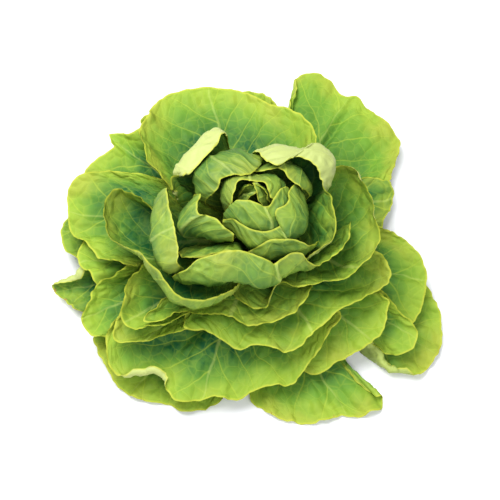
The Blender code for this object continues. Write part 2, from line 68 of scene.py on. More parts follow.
# The cut stem, in millimetres: radius and height up its side, from the cut face to the tip.
STEM_PROFILE = (
    (0, 0), (11.5, 0), (13, 1), (14.5, 4), (14.5, 8), (13, 15), (11, 23),
    (8.5, 32), (6, 40), (3, 46), (0, 48),
)
STEM_SIDE_START = 3
STEM_CLEARANCE = 0.5 * MM

# A leaf's place is 0 for the outermost and 1 for the innermost. Values in pairs hold for the leaves
# up to the first of these places and for the last leaf, and change evenly in between.
HEART_PLACES = (0.7, 1)

# Leaf bases clasp the stem by these angles to each side, and rise up it from the outermost leaf in.
# Ribs take off at this many degrees above level; the pulls shape them between stem and rim.
CLASPS = (32, 20)
LOWEST_BASE = 7 * MM
HIGHEST_BASE = 44 * MM
LOWEST_TAKEOFF = 8
HIGHEST_TAKEOFF = 70
BASE_PULL = 0.42
RIM_PULL = 0.36
FAN_OUT = 1.8

# A rib's belly is this much of t * t * (1 - t), which makes it 1 at two thirds of the rib.
BELLY_SHAPE = 27 / 4

# A leaf is tested against the others at this many points. Its own grid keeps every second or
# third of them, by the length of its rim.
POINTS_ACROSS = 37
POINTS_ALONG = 13
SHORTEST_STEP = 4
WIDE_RIM = 150 * MM
WIDE_STEP = 2
NARROW_STEP = 3
ROW_STEP = 2

# Middle surfaces keep these gaps, the smaller one at the stem. A point that lies deeper than the
# depths or further aside than the reaches belongs beside or beyond the other leaf.
BASE_GAP = 1.1 * MM
BLADE_GAP = 2.6 * MM
GAP_GROWTH = 3
SETTLE_ROUNDS = 14
PLAIN_ROUNDS = 4
LONGEST_MOVE = 6 * MM
SETTLED = 0.3 * MM
MOST_BENDS = (40 * MM, 8 * MM)
FLOOR_CLEARANCE = 0.9 * MM
INNER_REACH = 8 * MM
EDGE_REACH = 3 * MM
INNER_DEPTHS = (20 * MM, 9 * MM)
EDGE_DEPTH = 8 * MM
NEAR_BOX = 22 * MM
FACING_ALIKE = 0.1

# Low, even waves of the rim: height of a wave for the outermost and the innermost leaf.
WAVE_HEIGHT_OUTER = 1.6 * MM
WAVE_HEIGHT_INNER = 0.5 * MM
WAVE_LENGTH = 34 * MM
WAVE_START = 0.55
WAVE_GROWTH = 1.5
WAVE_TURN = 5

# Fine blades: points across a wide and a narrow leaf, rows along the ribs, and where those rows
# lie. They are wide apart at the hidden base, and close at the rim.
WIDE_COLUMNS = 181
NARROW_COLUMNS = 91
FINE_ROWS = 45
ROW_PLACES = ((0, 0), (0.12, 0.33), (0.68, 0.9), (0.97, 0.995), (1, 1))
EDGE_TAPER = 1.2 * MM

# Ruffles of the rim: wave length in mm and height in mm, for the outermost and the innermost leaf.
RUFFLES = ((26, 0.9, 0.25), (15, 0.6, 0), (8, 0.2, 0))
RUFFLE_STRETCHES = (0.8, 1.0, 1.3)
RUFFLE_START = 0.55
RUFFLE_GROWTH = 1.8
TOOTH_WAVE = 7 * MM
TOOTH_START = 0.9
SEED = 11

# Small folds of a rim that the solids leave out: where each starts and ends along the rim, how
# much of the rib it takes in mm, and how far it turns over in degrees.
FOLDS = {
    "outer_leaf_02": (0.08, 0.50, 9, 165),
    "outer_leaf_05": (0.13, 0.42, 8, 160),
    "outer_leaf_15": (0.26, 0.42, 7, 150),
}
FOLD_RADIUS = 1.7 * MM
FOLD_EASING = 4

# Veins, on a blade laid flat: laterals leave the midrib at this angle, each this much further out
# than the last, as a share of its distance from the base. Those of the left half start a share of
# a step later. The noise that bends them and the net between them keep to real sizes.
VEIN_ANGLE = math.radians(38)
VEIN_STEP = 0.30
LEFT_VEINS_SHIFT = 0.45
FIRST_VEIN = 10 * MM
MIDRIB_HALF = 2.6 * MM
MIDRIB_TIP_HALF = 0.3 * MM
MIDRIB_LENGTH = 150 * MM
LATERAL_HALF = 0.6 * MM
LATERAL_TIP_HALF = 0.25 * MM
LATERAL_REACH = 90 * MM
NET_CELL = 9.5 * MM
FINE_NET_CELL = 4.6 * MM
BEND_SIZE = 22 * MM
BEND_REACH = 7 * MM

# The relief: from where to where along a blade it grows from flat to puckered, how high a side vein
# stands out beside the midrib, and which share of the highest swelling is level with the blade.
FLAT_BASE = 30 * MM
PUCKERED_FROM = 55 * MM
LATERAL_RISE = 0.25
RELIEF_MIDDLE = 0.6
RELIEF_NAME = "Butterhead blade relief"

# Leaf numbers grow by this step from the outermost leaf in, and set leaves apart in every noise.
LEAF_NUMBER_STEP = 0.37
LEAF_APART = 3.7
NOISE_APART = 0.05
SPECKED_BELOW = 0.5

# The leaf's finish: sizes and details of the noises for patches, mottle, sun and grain, then how
# strongly each thing shows.
LEAF_NAME = "Butterhead leaf tissue"
LEAF_NOISES = ((16 * MM, 3), (5 * MM, 4), (48 * MM, 2), (1.6 * MM, 2))
RIM_UNEVENNESS = 30 * MM
VEIN_STRENGTH = 0.4
GRAIN_HEIGHT = 0.25
GROOVE_DEPTH = 1.2
LEAF_BUMP = 0.3 * MM
LEAF_ROUGHNESS = 0.5
ROUGHNESS_CHANGE = 0.22
OUTER_FACE_SHEEN = 0.14
LEAF_IOR = 1.45
LEAF_SPECULAR = 0.3
THROUGH_TINT = 0.65
LET_THROUGH = 0.16
RIB_OPACITY = 0.1

# The stem's finish: long fibres, blotches that make the browned rim uneven, a little scattering.
FIBRE_SIZE = 1.5 * MM
FIBRE_STRETCH = 0.15
BLOTCH_SIZE = 6 * MM
BLOTCH_REACH = 4 * MM
CUT_FACE_DEPTH = 0.3 * MM
STEM_BUMP = 0.4 * MM
STEM_ROUGHNESS = 0.55
STEM_SUBSURFACE = 0.15
STEM_SCATTER = 1 * MM

BOARD_GRAIN = 2 * MM

# Ramps: a measure that goes from the first number to the second gives the third to the fourth.
RAMPS = {
    "lateral half": (0, LATERAL_REACH, LATERAL_HALF, LATERAL_TIP_HALF),
    "midrib half": (0, MIDRIB_LENGTH, MIDRIB_HALF, MIDRIB_TIP_HALF),
    "lateral": (0.5, 1.6, 1, 0),
    "midrib": (0.4, 1.3, 1, 0),
    "swell": (0, 0.32, 0, 1),
    "blister": (0, 0.46, 0, 1),
    "loose": (FLAT_BASE, PUCKERED_FROM, 0.15, 1),
    "taper": (0, EDGE_TAPER, 0, 0.5),
    "rib height": (0, MIDRIB_LENGTH * 0.8, 1, 0.15),
    "rib near edge": (0, 4 * EDGE_TAPER, 0, 1),
    "inwards": (14 * MM, 42 * MM, 0, 1),
    "in sun": (0.45, 0.62, 0, 0.6),
    # Painted shade: the inner leaves and the places far from a rim take more deep green, and low
    # between the heart's leaves a dark green.
    "hearted": (5.5, 9.5, 0, 0.6),
    "depth": (9 * MM, 44 * MM, 0.05, 1),
    "between veins": (0.38, 0.62, 0.55, 1),
    "in cell": (0.35, 0.65, 0.7, 1.25),
    "cell line": (0.015, 0.065, 0.4, 0),
    "rib colour": (30 * MM, MIDRIB_LENGTH, 0.5, 0.12),
    # Painted shade low between the heart's leaves, less on their outer faces.
    "hidden": (12 * MM, 36 * MM, 0, 1.3),
    "by face": (-1, 1, 0.6, 1),
    "margin": (0.3 * MM, 2 * MM, 0.7, 0),
    "dry edge": (1 * MM, 3 * MM, 1, 0),
    "dotted": (0.62, 0.68, 0, 0.8),
    "fine swell": (0, 0.3, 0, 0.5),
    "dried rim": (10.5 * MM, 13.5 * MM, 0.05, 0.75),
    "board roughness": (0, 1, 0.75, 0.9),
}

# How far a leaf's outer face is paler than its inner one: all leaves, then those that stand out.
OUTSIDE_PALENESS = 0.08
PALE_OUTSIDES = {
    "outer_leaf_02": 1.0, "outer_leaf_05": 0.6, "outer_leaf_15": 0.95, "cup_leaf_05": 0.7,
    "cup_leaf_06": 0.05, "cup_leaf_08": 0.12, "cup_leaf_09": 1.0, "cup_leaf_10": 0.9,
}

# How much more or less deep green, partly painted shade, single leaves hold than the rest.
DEEPER_GREENS_AND_SHADE = {
    "outer_leaf_01": -0.35, "outer_leaf_02": 0.5, "outer_leaf_03": -0.6, "outer_leaf_05": -0.1,
    "outer_leaf_06": 0.35, "outer_leaf_08": 0.45, "outer_leaf_11": -0.1, "outer_leaf_14": -0.35,
    "outer_leaf_17": -0.2, "cup_leaf_05": -0.3, "cup_leaf_06": 0.4,
    "cup_leaf_08": -0.1, "heart_leaf_03": 0.15,
}

# Height above the floor that a blade's middle and its lower face keep.
MIDDLE_CLEARANCE = 1.0 * MM
FACE_CLEARANCE = 0.2 * MM

# The fine stem, and the low scars where leaves were: how many round it, their depth and pitch, and
# from which height and radius up they show.
STEM_ROWS = 40
STEM_SIDES = 64
STEM_SCARS = 5
SCAR_DEPTH = 0.25 * MM
SCAR_PITCH = 3 * MM
SCARRED_ABOVE = 2 * MM
SCARRED_OVER = 4 * MM
STEM_SHARP = math.radians(50)

# The photograph's view: degrees above level, metres away, metres to a pixel where it aims.
CAMERA_ELEVATION = 62
CAMERA_DISTANCE = 1.30
PIXEL_SIZE = 0.77 * MM
PHOTO_SIDE = 500
SENSOR_WIDTH = 36
AIM = (-0.0015, 0, 0.0148)

# A place further off than any of the head, so that a lowest place holds for heights alone.
FAR = 10

# The stage: a wide floor, even light, a key light from behind on the left and one in front.
FLOOR_SIDE = 8
SKY_COLOUR = "#F2F6FF"
KEY_PLACE = (-0.4, 0.35, 1.2)
KEY_SIZE = 1.2
FRONT_PLACE = (0.3, -1.1, 1.4)
FRONT_SIZE = 1.2

# Each leaf: name, the direction it grows in, how far its rim leans along x and y in mm, and its
# rim from one side to the other as (direction, distance from the axis in mm, height in mm, slope
# of the blade there in degrees, and in some how far the rib bellies outwards in mm).
# Directions are degrees from +X towards +Y. A slope over 90 means the blade leans back inwards.
LEAVES = (
    ("outer_leaf_01", 290, (0, 0), (
        (315, 86, 8, 0), (310, 108, 8, 0), (306, 124, 8, 0), (308, 158, 3, -5), (302, 157, 3, 0),
        (297, 149, 4, 5), (294, 148, 4, 0), (288, 146, 3, 0), (281, 140, 3, 0), (275, 131, 3, 0),
        (269, 119, 5, 5), (264, 95, 7, 5),
    )),
    ("outer_leaf_02", 190, (0, 0), (
        (212, 88, 10, 5), (206, 110, 8, 0), (200, 142, 8, -5), (196, 148, 8, 0), (191, 156, 12, 10),
        (188, 140, 17, 10), (184, 108, 16, 15), (177, 86, 15, 17),
    )),
    ("outer_leaf_03", 57, (0, 0), (
        (24, 94, 12, 4), (28, 118, 12, 0), (34, 137, 12, -5), (40, 155, 12, 5), (46, 160, 12, 0),
        (56, 163, 12, -5), (59, 166, 14, 10), (62, 161, 14, 0), (68, 170, 14, 0), (74, 171, 15, 0),
        (77, 162, 16, 10), (76, 142, 20, 15), (80, 104, 22, 20), (84, 83, 18, 20),
    )),
    ("outer_leaf_04", 240, (0, 0), (
        (266, 94, 8, 2), (262, 118, 7, 0), (255, 132, 4, 0), (248, 140, 3, -5), (243, 139, 4, 5),
        (236, 146, 3, 0), (229, 149, 4, 0), (223, 147, 5, 5), (216, 143, 7, 0), (211, 138, 9, 5),
        (204, 112, 12, 10), (200, 90, 13, 10),
    )),
    ("outer_leaf_05", 325, (0, 0), (
        (300, 83, 12, 7), (306, 104, 12, 5), (316, 122, 16, 40), (316, 142, 14, 60), (319, 158, 6, 20),
        (326, 163, 5, -5), (332, 162, 4, 0), (338, 156, 6, 5), (343, 148, 8, 5), (350, 134, 10, 5),
        (0, 110, 12, 5), (3, 88, 13, 7),
    )),
    ("outer_leaf_06", 170, (0, 0), (
        (146, 84, 16, 9), (150, 105, 16, 5), (160, 135, 15, 0), (168, 147, 14, 5), (173, 151, 12, 0),
        (178, 146, 12, 5), (184, 132, 14, 10), (194, 96, 16, 10), (199, 77, 16, 12),
    )),
    ("outer_leaf_07", 95, (0, 0), (
        (66, 76, 21, 17), (72, 95, 24, 15), (80, 124, 28, 10), (86, 136, 27, 30), (91, 139, 26, 0),
        (97, 134, 27, 10), (106, 120, 26, 10), (120, 90, 24, 15), (126, 72, 21, 18),
    )),
    ("outer_leaf_08", 15, (0, 0), (
        (346, 67, 14, 13), (352, 84, 14, 10), (4, 98, 12, 5), (14, 107, 10, 5), (19, 117, 8, 0),
        (24, 124, 8, 5), (29, 123, 10, 0), (34, 112, 14, 10), (44, 80, 18, 15), (50, 64, 18, 18),
    )),
    ("outer_leaf_09", 190, (0, 0), (
        (217, 77, 20, 18), (212, 96, 22, 15), (204, 116, 24, 10), (197, 124, 28, 20),
        (193, 126, 30, 10), (187, 134, 24, 0), (182, 132, 24, 5), (174, 122, 24, 10), (164, 96, 24, 15),
        (158, 77, 22, 17),
    )),
    ("outer_leaf_10", 210, (0, 0), (
        (232, 86, 21, 12), (226, 108, 20, 10), (217, 132, 20, 15), (214, 141, 19, 0), (208, 144, 24, 5),
        (204, 136, 29, 20), (201, 126, 36, 30), (198, 110, 40, 40), (196, 90, 40, 40),
        (191, 72, 34, 35),
    )),
    ("outer_leaf_11", 345, (0, 0), (
        (317, 78, 17, 12), (322, 98, 16, 10), (330, 133, 15, 0), (337, 138, 17, 5), (344, 137, 19, 0),
        (350, 135, 21, 10), (356, 129, 24, 5), (2, 113, 30, 20), (6, 99, 34, 25), (16, 74, 32, 30),
        (22, 59, 28, 30),
    )),
    ("outer_leaf_12", 137, (0, 0), (
        (113, 83, 29, 22), (118, 104, 34, 20), (126, 130, 46, 20), (131, 131, 49, 30),
        (134, 125, 48, 10), (139, 131, 46, 20), (142, 142, 42, 10), (145, 132, 44, 25),
        (151, 138, 41, 10), (157, 142, 37, 0), (160, 134, 38, 15), (166, 104, 34, 20),
        (171, 83, 30, 22),
    )),
    ("outer_leaf_13", 332, (0, 0), (
        (307, 80, 14, 14), (312, 100, 12, 10), (319, 138, 9, 5), (324, 147, 15, 10), (329, 143, 20, 15),
        (331, 135, 24, 25), (332, 124, 26, 30), (336, 104, 28, 30), (342, 84, 28, 30),
        (346, 67, 26, 30),
    )),
    ("outer_leaf_14", 315, (0, 0), (
        (287, 78, 17, 15), (289, 98, 16, 10), (294, 114, 14, 0), (302, 115, 16, 5), (309, 117, 20, 5),
        (315, 121, 24, 10), (320, 124, 28, 15), (324, 122, 32, 20), (327, 118, 36, 25),
        (331, 117, 38, 30), (335, 102, 38, 35), (341, 84, 36, 35), (347, 67, 33, 35),
    )),
    ("outer_leaf_15", 258, (0, 0), (
        (217, 85, 31, 25), (214, 106, 34, 25), (217, 132, 30, 20), (222, 144, 25, 10),
        (228, 147, 21, 10), (233, 141, 24, 25), (237, 134, 27, 35), (241, 134, 23, 15),
        (246, 139, 18, 0), (252, 133, 17, 0), (257, 127, 17, 5), (264, 126, 15, 0), (271, 119, 18, 5),
        (279, 117, 20, 10), (284, 118, 19, 10), (289, 114, 21, 5), (294, 107, 25, 15),
        (300, 102, 30, 20), (308, 98, 36, 30), (313, 94, 40, 35), (316, 75, 37, 35),
    )),
    ("outer_leaf_16", 170, (0, 0), (
        (198, 78, 38, 30), (196, 98, 44, 30), (189, 117, 37, 15), (182, 127, 33, 5), (176, 140, 28, 0),
        (170, 144, 31, 5), (165, 148, 32, 0), (159, 144, 34, 5), (156, 132, 37, 15), (150, 104, 38, 25),
        (145, 83, 34, 27),
    )),
    ("outer_leaf_17", 105, (0, 0), (
        (46, 64, 56, 47), (52, 80, 74, 50), (60, 90, 70, 45), (67, 99, 65, 40), (74, 104, 61, 35),
        (83, 108, 57, 25), (94, 121, 54, 20), (101, 127, 52, 20), (107, 132, 51, 25),
        (114, 136, 49, 15), (121, 136, 51, 20), (129, 128, 55, 25), (137, 117, 62, 40),
        (143, 104, 68, 45), (150, 85, 68, 45), (154, 68, 57, 42),
    )),
    ("cup_leaf_01", 230, (0, 0), (
        (264, 62, 37, 32), (256, 78, 43, 25), (246, 89, 45, 20), (238, 98, 44, 15), (232, 108, 42, 20),
        (228, 119, 38, 10), (224, 128, 36, 5), (220, 133, 38, 15), (215, 120, 42, 25),
        (210, 104, 45, 30), (208, 84, 44, 35),
    )),
    ("cup_leaf_02", 300, (0, 0), (
        (236, 80, 40, 30), (240, 100, 45, 30), (247, 94, 44, 15), (255, 95, 39, 10), (264, 98, 35, 0),
        (269, 93, 39, 20), (275, 94, 39, 10), (285, 100, 37, 5), (296, 97, 42, 15), (305, 93, 46, 20),
        (313, 93, 49, 25), (321, 99, 50, 30), (329, 104, 51, 35), (336, 112, 50, 20),
        (341, 106, 57, 40), (346, 88, 62, 55), (352, 70, 55, 52),
    )),
    ("cup_leaf_03", 222, (0, 0), (
        (242, 77, 45, 42), (236, 96, 48, 40), (229, 112, 49, 30), (224, 121, 48, 25),
        (219, 122, 51, 35), (213, 112, 58, 50), (206, 94, 62, 60), (202, 75, 56, 56),
    )),
    ("cup_leaf_04", 265, (0, 0), (
        (224, 91, 47, 38), (226, 114, 49, 30), (232, 104, 51, 30), (239, 93, 54, 35), (246, 87, 56, 35),
        (254, 82, 56, 30), (262, 81, 54, 30), (272, 82, 52, 30), (282, 82, 54, 35), (290, 80, 57, 40),
        (298, 77, 60, 50), (308, 72, 64, 60), (315, 58, 57, 60),
    )),
    ("cup_leaf_05", 345, (0, 0), (
        (253, 51, 53, 50), (259, 64, 58, 50), (265, 69, 56, 30), (272, 71, 55, 25), (279, 71, 57, 40),
        (283, 63, 64, 80), (289, 61, 67, 60), (298, 65, 66, 40), (308, 74, 66, 40), (318, 83, 66, 45),
        (328, 90, 67, 50), (338, 96, 69, 60), (348, 97, 72, 75), (358, 92, 75, 85), (8, 88, 76, 90),
        (18, 87, 76, 95), (26, 82, 76, 110), (33, 68, 76, 90), (39, 54, 69, 78),
    )),
    ("cup_leaf_06", 200, (0, 0), (
        (260, 59, 68, 104), (251, 74, 76, 120), (244, 84, 79, 125), (236, 88, 80, 125),
        (228, 88, 82, 125), (219, 87, 84, 125), (208, 88, 80, 115), (199, 93, 73, 100),
        (192, 102, 68, 85), (186, 110, 66, 75), (180, 112, 66, 70), (174, 110, 68, 70),
        (167, 104, 71, 70), (168, 95, 71, 65), (172, 80, 66, 60), (176, 64, 57, 55),
    )),
    ("cup_leaf_07", 292, (0, 0), (
        (224, 81, 72, 90), (228, 75, 82, 105, 4), (233, 63, 91, 115, 12), (243, 52, 93, 120, 17),
        (252, 47, 94, 122, 18), (263, 45, 94, 122, 18), (275, 47, 92, 120, 17), (284, 50, 88, 115, 13),
        (288, 52, 85, 110, 10), (295, 51, 88, 108, 8), (304, 52, 91, 108, 8), (310, 56, 90, 105, 7),
        (312, 62, 86, 90, 4), (317, 68, 82, 60), (325, 73, 82, 45), (335, 74, 82, 45),
        (345, 74, 80, 50), (355, 74, 72, 60),
    )),
    ("cup_leaf_08", 195, (0, 0), (
        (164, 66, 80, 92), (173, 62, 91, 115, 8), (188, 60, 93, 130, 12), (197, 60, 93, 135, 14),
        (205, 61, 92, 138, 15), (213, 65, 91, 138, 15), (219, 70, 89, 135, 14), (223, 76, 86, 130, 12),
        (225, 80, 82, 115, 6), (225, 77, 72, 100),
    )),
    ("cup_leaf_09", 125, (0, 0), (
        (170, 63, 78, 85), (169, 67, 87, 75), (168, 71, 90, 60), (163, 70, 92, 60), (160, 64, 93, 80),
        (158, 57, 95, 120, 4), (157, 50, 98, 155, 8), (139, 46, 100, 165, 9), (121, 50, 101, 165, 9),
        (113, 56, 99, 150, 5), (108, 59, 88, 110),
    )),
    ("cup_leaf_10", 30, (0, 0), (
        (90, 40, 90, 105), (83, 36, 100, 130, 4), (69, 28, 104, 165, 12), (49, 27, 106, 172, 16),
        (43, 36, 107, 172, 16), (43, 41, 107, 170, 16), (35, 47, 106, 165, 14), (26, 50, 105, 150, 12),
        (17, 51, 103, 130, 6), (6, 54, 101, 95), (354, 58, 98, 70), (345, 63, 94, 60),
        (339, 67, 91, 60), (334, 66, 88, 70), (328, 63, 86, 85), (318, 62, 82, 90), (317, 57, 72, 90),
    )),
    ("heart_leaf_01", 255, (0, 0), (
        (213, 64, 64, 40), (221, 66, 74, 15), (225, 61, 78, 8), (229, 55, 80, 5), (237, 48, 83, 10),
        (247, 43, 86, 25), (258, 40, 88, 60), (266, 40, 89, 90, 3), (280, 38, 92, 105, 5),
        (294, 38, 93, 110, 6), (308, 45, 93, 110, 6), (314, 55, 90, 105, 5), (318, 62, 84, 95),
        (327, 62, 74, 90),
    )),
    ("heart_leaf_02", 205, (0, 0), (
        (169, 44, 86, 95), (175, 37, 95, 112, 6), (193, 40, 98, 130, 12), (201, 41, 98, 132, 13),
        (206, 37, 97, 130, 10), (218, 33, 96, 125, 8), (238, 36, 95, 115, 5), (248, 38, 92, 105, 2),
    )),
    ("heart_leaf_03", 120, (0, 0), (
        (177, 33, 94, 112, 3), (175, 30, 99, 140, 9), (163, 27, 102, 155, 13), (155, 27, 103, 165, 15),
        (141, 22, 104, 172, 17), (114, 19, 105, 175, 18), (95, 22, 105, 175, 18),
        (82, 29, 103, 160, 12), (78, 34, 100, 140, 7),
    )),
    ("heart_leaf_04", 50, (0, 0), (
        (97, 24, 96, 120, 2), (75, 24, 101, 145, 5), (54, 26, 102, 150, 7), (43, 29, 102, 150, 8),
        (28, 29, 102, 150, 9), (14, 34, 100, 136, 7), (11, 37, 96, 118, 3),
    )),
    ("heart_leaf_05", 300, (0, 0), (
        (226, 30, 96, 106), (237, 26, 98, 112, 1), (254, 28, 98, 118, 3), (273, 32, 98, 120, 7),
        (288, 35, 98, 120, 8), (299, 36, 99, 125, 10), (304, 36, 101, 130, 12), (307, 29, 104, 135, 13),
        (316, 25, 105, 138, 13), (332, 27, 104, 135, 13), (345, 28, 103, 130, 11), (0, 28, 102, 125, 9),
        (11, 32, 100, 118, 5), (17, 36, 97, 108, 2),
    )),
    ("heart_leaf_06", 270, (0, 0), (
        (218, 21, 101, 114, 1), (219, 16, 106, 145, 4), (256, 12, 108, 155, 5), (286, 14, 108, 155, 5),
        (304, 18, 107, 150, 5), (316, 19, 107, 150, 5), (339, 18, 107, 145, 5), (5, 21, 106, 132, 4),
        (16, 26, 102, 118, 1),
    )),
    ("heart_leaf_07", 85, (0, 0), (
        (202, 16, 102, 112, 1), (167, 14, 107, 140, 3), (131, 16, 108, 148, 4), (99, 16, 109, 150, 4),
        (58, 14, 110, 152, 5), (12, 14, 110, 152, 5), (346, 18, 106, 130, 3),
    )),
    ("heart_leaf_08", 300, (-4, 6), (
        (304, 18, 101, 105, 1), (315, 10, 105, 125, 2), (14, 4, 105, 132, 2), (0, 8, 105, 130, 2),
        (347, 13, 103, 122, 2), (328, 19, 101, 108, 1),
    )),
    ("heart_leaf_09", 200, (3, 0), (
        (151, 10, 100, 106, 1), (144, 9, 103, 122, 2), (143, 5, 104, 124, 2), (217, 5, 102, 120, 2),
        (225, 10, 100, 106, 1),
    )),
)


def shared(first, last, share):
    """The value that lies this share of the way from the first to the last."""
    return first + (last - first) * share


def stem_radius(height):
    """Radius of the stem's side at a height, both in metres."""
    side = STEM_PROFILE[STEM_SIDE_START:]
    return np.interp(height, [z * MM for _, z in side], [r * MM for r, _ in side])


def rim_curve(stations, count):
    """Rows evenly along the smooth curve through the stations, and the rim's length in metres."""
    rows = np.array([(*station, 0)[:5] for station in stations], float)
    rows[:, 0] = np.degrees(np.unwrap(np.radians(rows[:, 0])))
    if rows[-1, 0] < rows[0, 0]:
        rows = rows[::-1]
    turn = np.radians(rows[:, 0])
    places = np.stack([rows[:, 1] * np.cos(turn), rows[:, 1] * np.sin(turn), rows[:, 2]], 1)
    steps = np.linalg.norm(np.diff(places, axis=0), axis=1)
    at = np.concatenate([[0], np.cumsum(np.maximum(steps, SHORTEST_STEP))])
    slope = np.empty_like(rows)
    slope[1:-1] = (rows[2:] - rows[:-2]) / (at[2:] - at[:-2])[:, None]
    slope[0] = (rows[1] - rows[0]) / (at[1] - at[0])
    slope[-1] = (rows[-1] - rows[-2]) / (at[-1] - at[-2])
    where = np.linspace(0, at[-1], count)
    k = np.clip(np.searchsorted(at, where, side="right") - 1, 0, len(at) - 2)
    width = (at[k + 1] - at[k])[:, None]
    t = (where - at[k])[:, None] / width
    curve = (2 * t**3 - 3 * t**2 + 1) * rows[k]
    curve += (t**3 - 2 * t**2 + t) * width * slope[k]
    curve += (3 * t**2 - 2 * t**3) * rows[k + 1]
    curve += (t**3 - t**2) * width * slope[k + 1]
    return curve, at[-1] * MM


def upper_normals(grid):
    """Unit normals of a leaf's grid of points, on its inner, upper face."""
    across = np.gradient(grid, axis=0)
    along = np.gradient(grid, axis=1)
    normals = np.cross(along, across)
    return normals / np.maximum(np.linalg.norm(normals, axis=-1, keepdims=True), TINY)


def unsettled_leaf(direction, lean, stations, place, columns, t):
    """A leaf's middle surface before it is settled: columns of points at shares t of its ribs."""
    rim, rim_length = rim_curve(stations, columns)
    direction += 360 * round((rim[:, 0].mean() - direction) / 360)
    clasp = np.interp(place, HEART_PLACES, CLASPS)
    base_direction = direction + np.linspace(-clasp, clasp, columns)
    base_height = shared(LOWEST_BASE, HIGHEST_BASE, place)
    base_radius = stem_radius(base_height) + STEM_CLEARANCE
    takeoff = math.radians(shared(LOWEST_TAKEOFF, HIGHEST_TAKEOFF, place))
    fanned = 1 - (1 - t) ** FAN_OUT
    turn = np.radians(base_direction[:, None] + (rim[:, :1] - base_direction[:, None]) * fanned)

    start = np.tile([base_radius, base_height], (columns, 1))
    end = rim[:, 1:3] * MM
    slope = np.radians(rim[:, 3])
    reach = np.linalg.norm(end - start, axis=1)[:, None]
    near_start = start + BASE_PULL * reach * np.array([math.cos(takeoff), math.sin(takeoff)])
    near_end = end - RIM_PULL * reach * np.stack([np.cos(slope), np.sin(slope)], 1)
    shares = ((1 - t) ** 3, 3 * t * (1 - t) ** 2, 3 * t**2 * (1 - t), t**3)
    pulls = (start, near_start, near_end, end)
    ribs = sum(share[None, :, None] * pull[:, None] for share, pull in zip(shares, pulls))
    ribs[..., 0] += rim[:, 4:] * MM * BELLY_SHAPE * t**2 * (1 - t)
    grid = np.stack([ribs[..., 0] * np.cos(turn), ribs[..., 0] * np.sin(turn), ribs[..., 1]], -1)
    grid[..., :2] += t[:, None] * np.array(lean) * MM

    waves = max(2, round(rim_length / WAVE_LENGTH))
    phase = 2 * math.pi * waves * np.linspace(0, 1, columns) + WAVE_TURN * direction
    growth = np.clip((t - WAVE_START) / (1 - WAVE_START), 0, 1) ** WAVE_GROWTH
    height = shared(WAVE_HEIGHT_OUTER, WAVE_HEIGHT_INNER, place)
    grid += height * (np.sin(phase)[:, None] * growth)[..., None] * upper_normals(grid)
    return grid, rim_length


def between(grid, steps_across, steps_along):
    """Points of a leaf's flat faces: its grid with evenly spaced points put in between."""
    across = np.linspace(0, grid.shape[0] - 1, (grid.shape[0] - 1) * steps_across + 1)
    along = np.linspace(0, grid.shape[1] - 1, (grid.shape[1] - 1) * steps_along + 1)
    i = np.minimum(across.astype(int), grid.shape[0] - 2)
    j = np.minimum(along.astype(int), grid.shape[1] - 2)
    u = (across - i)[:, None, None]
    v = (along - j)[None, :, None]
    nearer = (1 - v) * grid[i][:, j] + v * grid[i][:, j + 1]
    further = (1 - v) * grid[i + 1][:, j] + v * grid[i + 1][:, j + 1]
    return (1 - u) * nearer + u * further


def height_over(points, others, normals, squares):
    """Each point's nearest other point, its height over the face there and how far aside it is."""
    nearest = squares.argmin(1)
    away = points - others[nearest]
    height = (away * normals[nearest]).sum(1)
    aside = np.linalg.norm(away - height[:, None] * normals[nearest], axis=1)
    return nearest, height, aside


def near_to(points, others):
    """Which points lie in or near the box round the others."""
    return ((points > others.min(0) - NEAR_BOX) & (points < others.max(0) + NEAR_BOX)).all(1)


def pushes(points, normals, at_edge, gaps, deep, settled):
    """The move that takes each point of a leaf to the inner side of every settled leaf."""
    move = np.zeros_like(points)
    longest = np.zeros(len(points))
    for whole_leaf in settled:
        near = np.flatnonzero(near_to(points, whole_leaf[0]))
        there = near_to(whole_leaf[0], points)
        if not len(near) or not there.any():
            continue
        others, other_normals, other_at_edge = (values[there] for values in whole_leaf)
        mine, facing, room = points[near], normals[near], gaps[near]
        squares = (mine**2).sum(1)[:, None] + (others**2).sum(1)[None] - 2 * mine @ others.T
        nearest, height, aside = height_over(mine, others, other_normals, squares)
        edge = other_at_edge[nearest]
        within = (aside < np.where(edge, EDGE_REACH, INNER_REACH)) & (height < room)
        within &= height > np.where(edge, -EDGE_DEPTH, -deep)
        within &= (facing * other_normals[nearest]).sum(1) > FACING_ALIKE
        need = np.where(within, room - height, 0)
        longer = need > longest[near]
        move[near[longer]] = need[longer, None] * other_normals[nearest][longer]
        longest[near] = np.maximum(longest[near], need)

        nearest, height, aside = height_over(others, mine, facing, squares.T)
        edge = at_edge[near][nearest]
        within = (aside < np.where(edge, EDGE_REACH, INNER_REACH)) & (height > -room[nearest])
        within &= (height < EDGE_DEPTH) & ((other_normals * facing[nearest]).sum(1) > FACING_ALIKE)
        point = near[nearest[within]]
        need = height[within] + gaps[point]
        rising = np.argsort(need, kind="stable")
        rising = rising[need[rising] > longest[point[rising]]]
        move[point[rising]] = need[rising, None] * normals[point[rising]]
        np.maximum.at(longest, point, need)
    return move


def gathered(move, steps_across, steps_along):
    """At each point of the grid, the longest move among the points around it."""
    length = np.linalg.norm(move, axis=-1)
    across = np.arange(0, move.shape[0], steps_across)
    along = np.arange(0, move.shape[1], steps_along)
    kept = np.zeros((len(across), len(along), 3))
    longest = np.full((len(across), len(along)), -1.0)
    for di in range(1 - steps_across, steps_across):
        for dj in range(1 - steps_along, steps_along):
            i = np.clip(across + di, 0, move.shape[0] - 1)
            j = np.clip(along + dj, 0, move.shape[1] - 1)
            found = length[i][:, j]
            longer = found > longest
            kept[longer] = move[i][:, j][longer]
            longest = np.maximum(longest, found)
    return kept


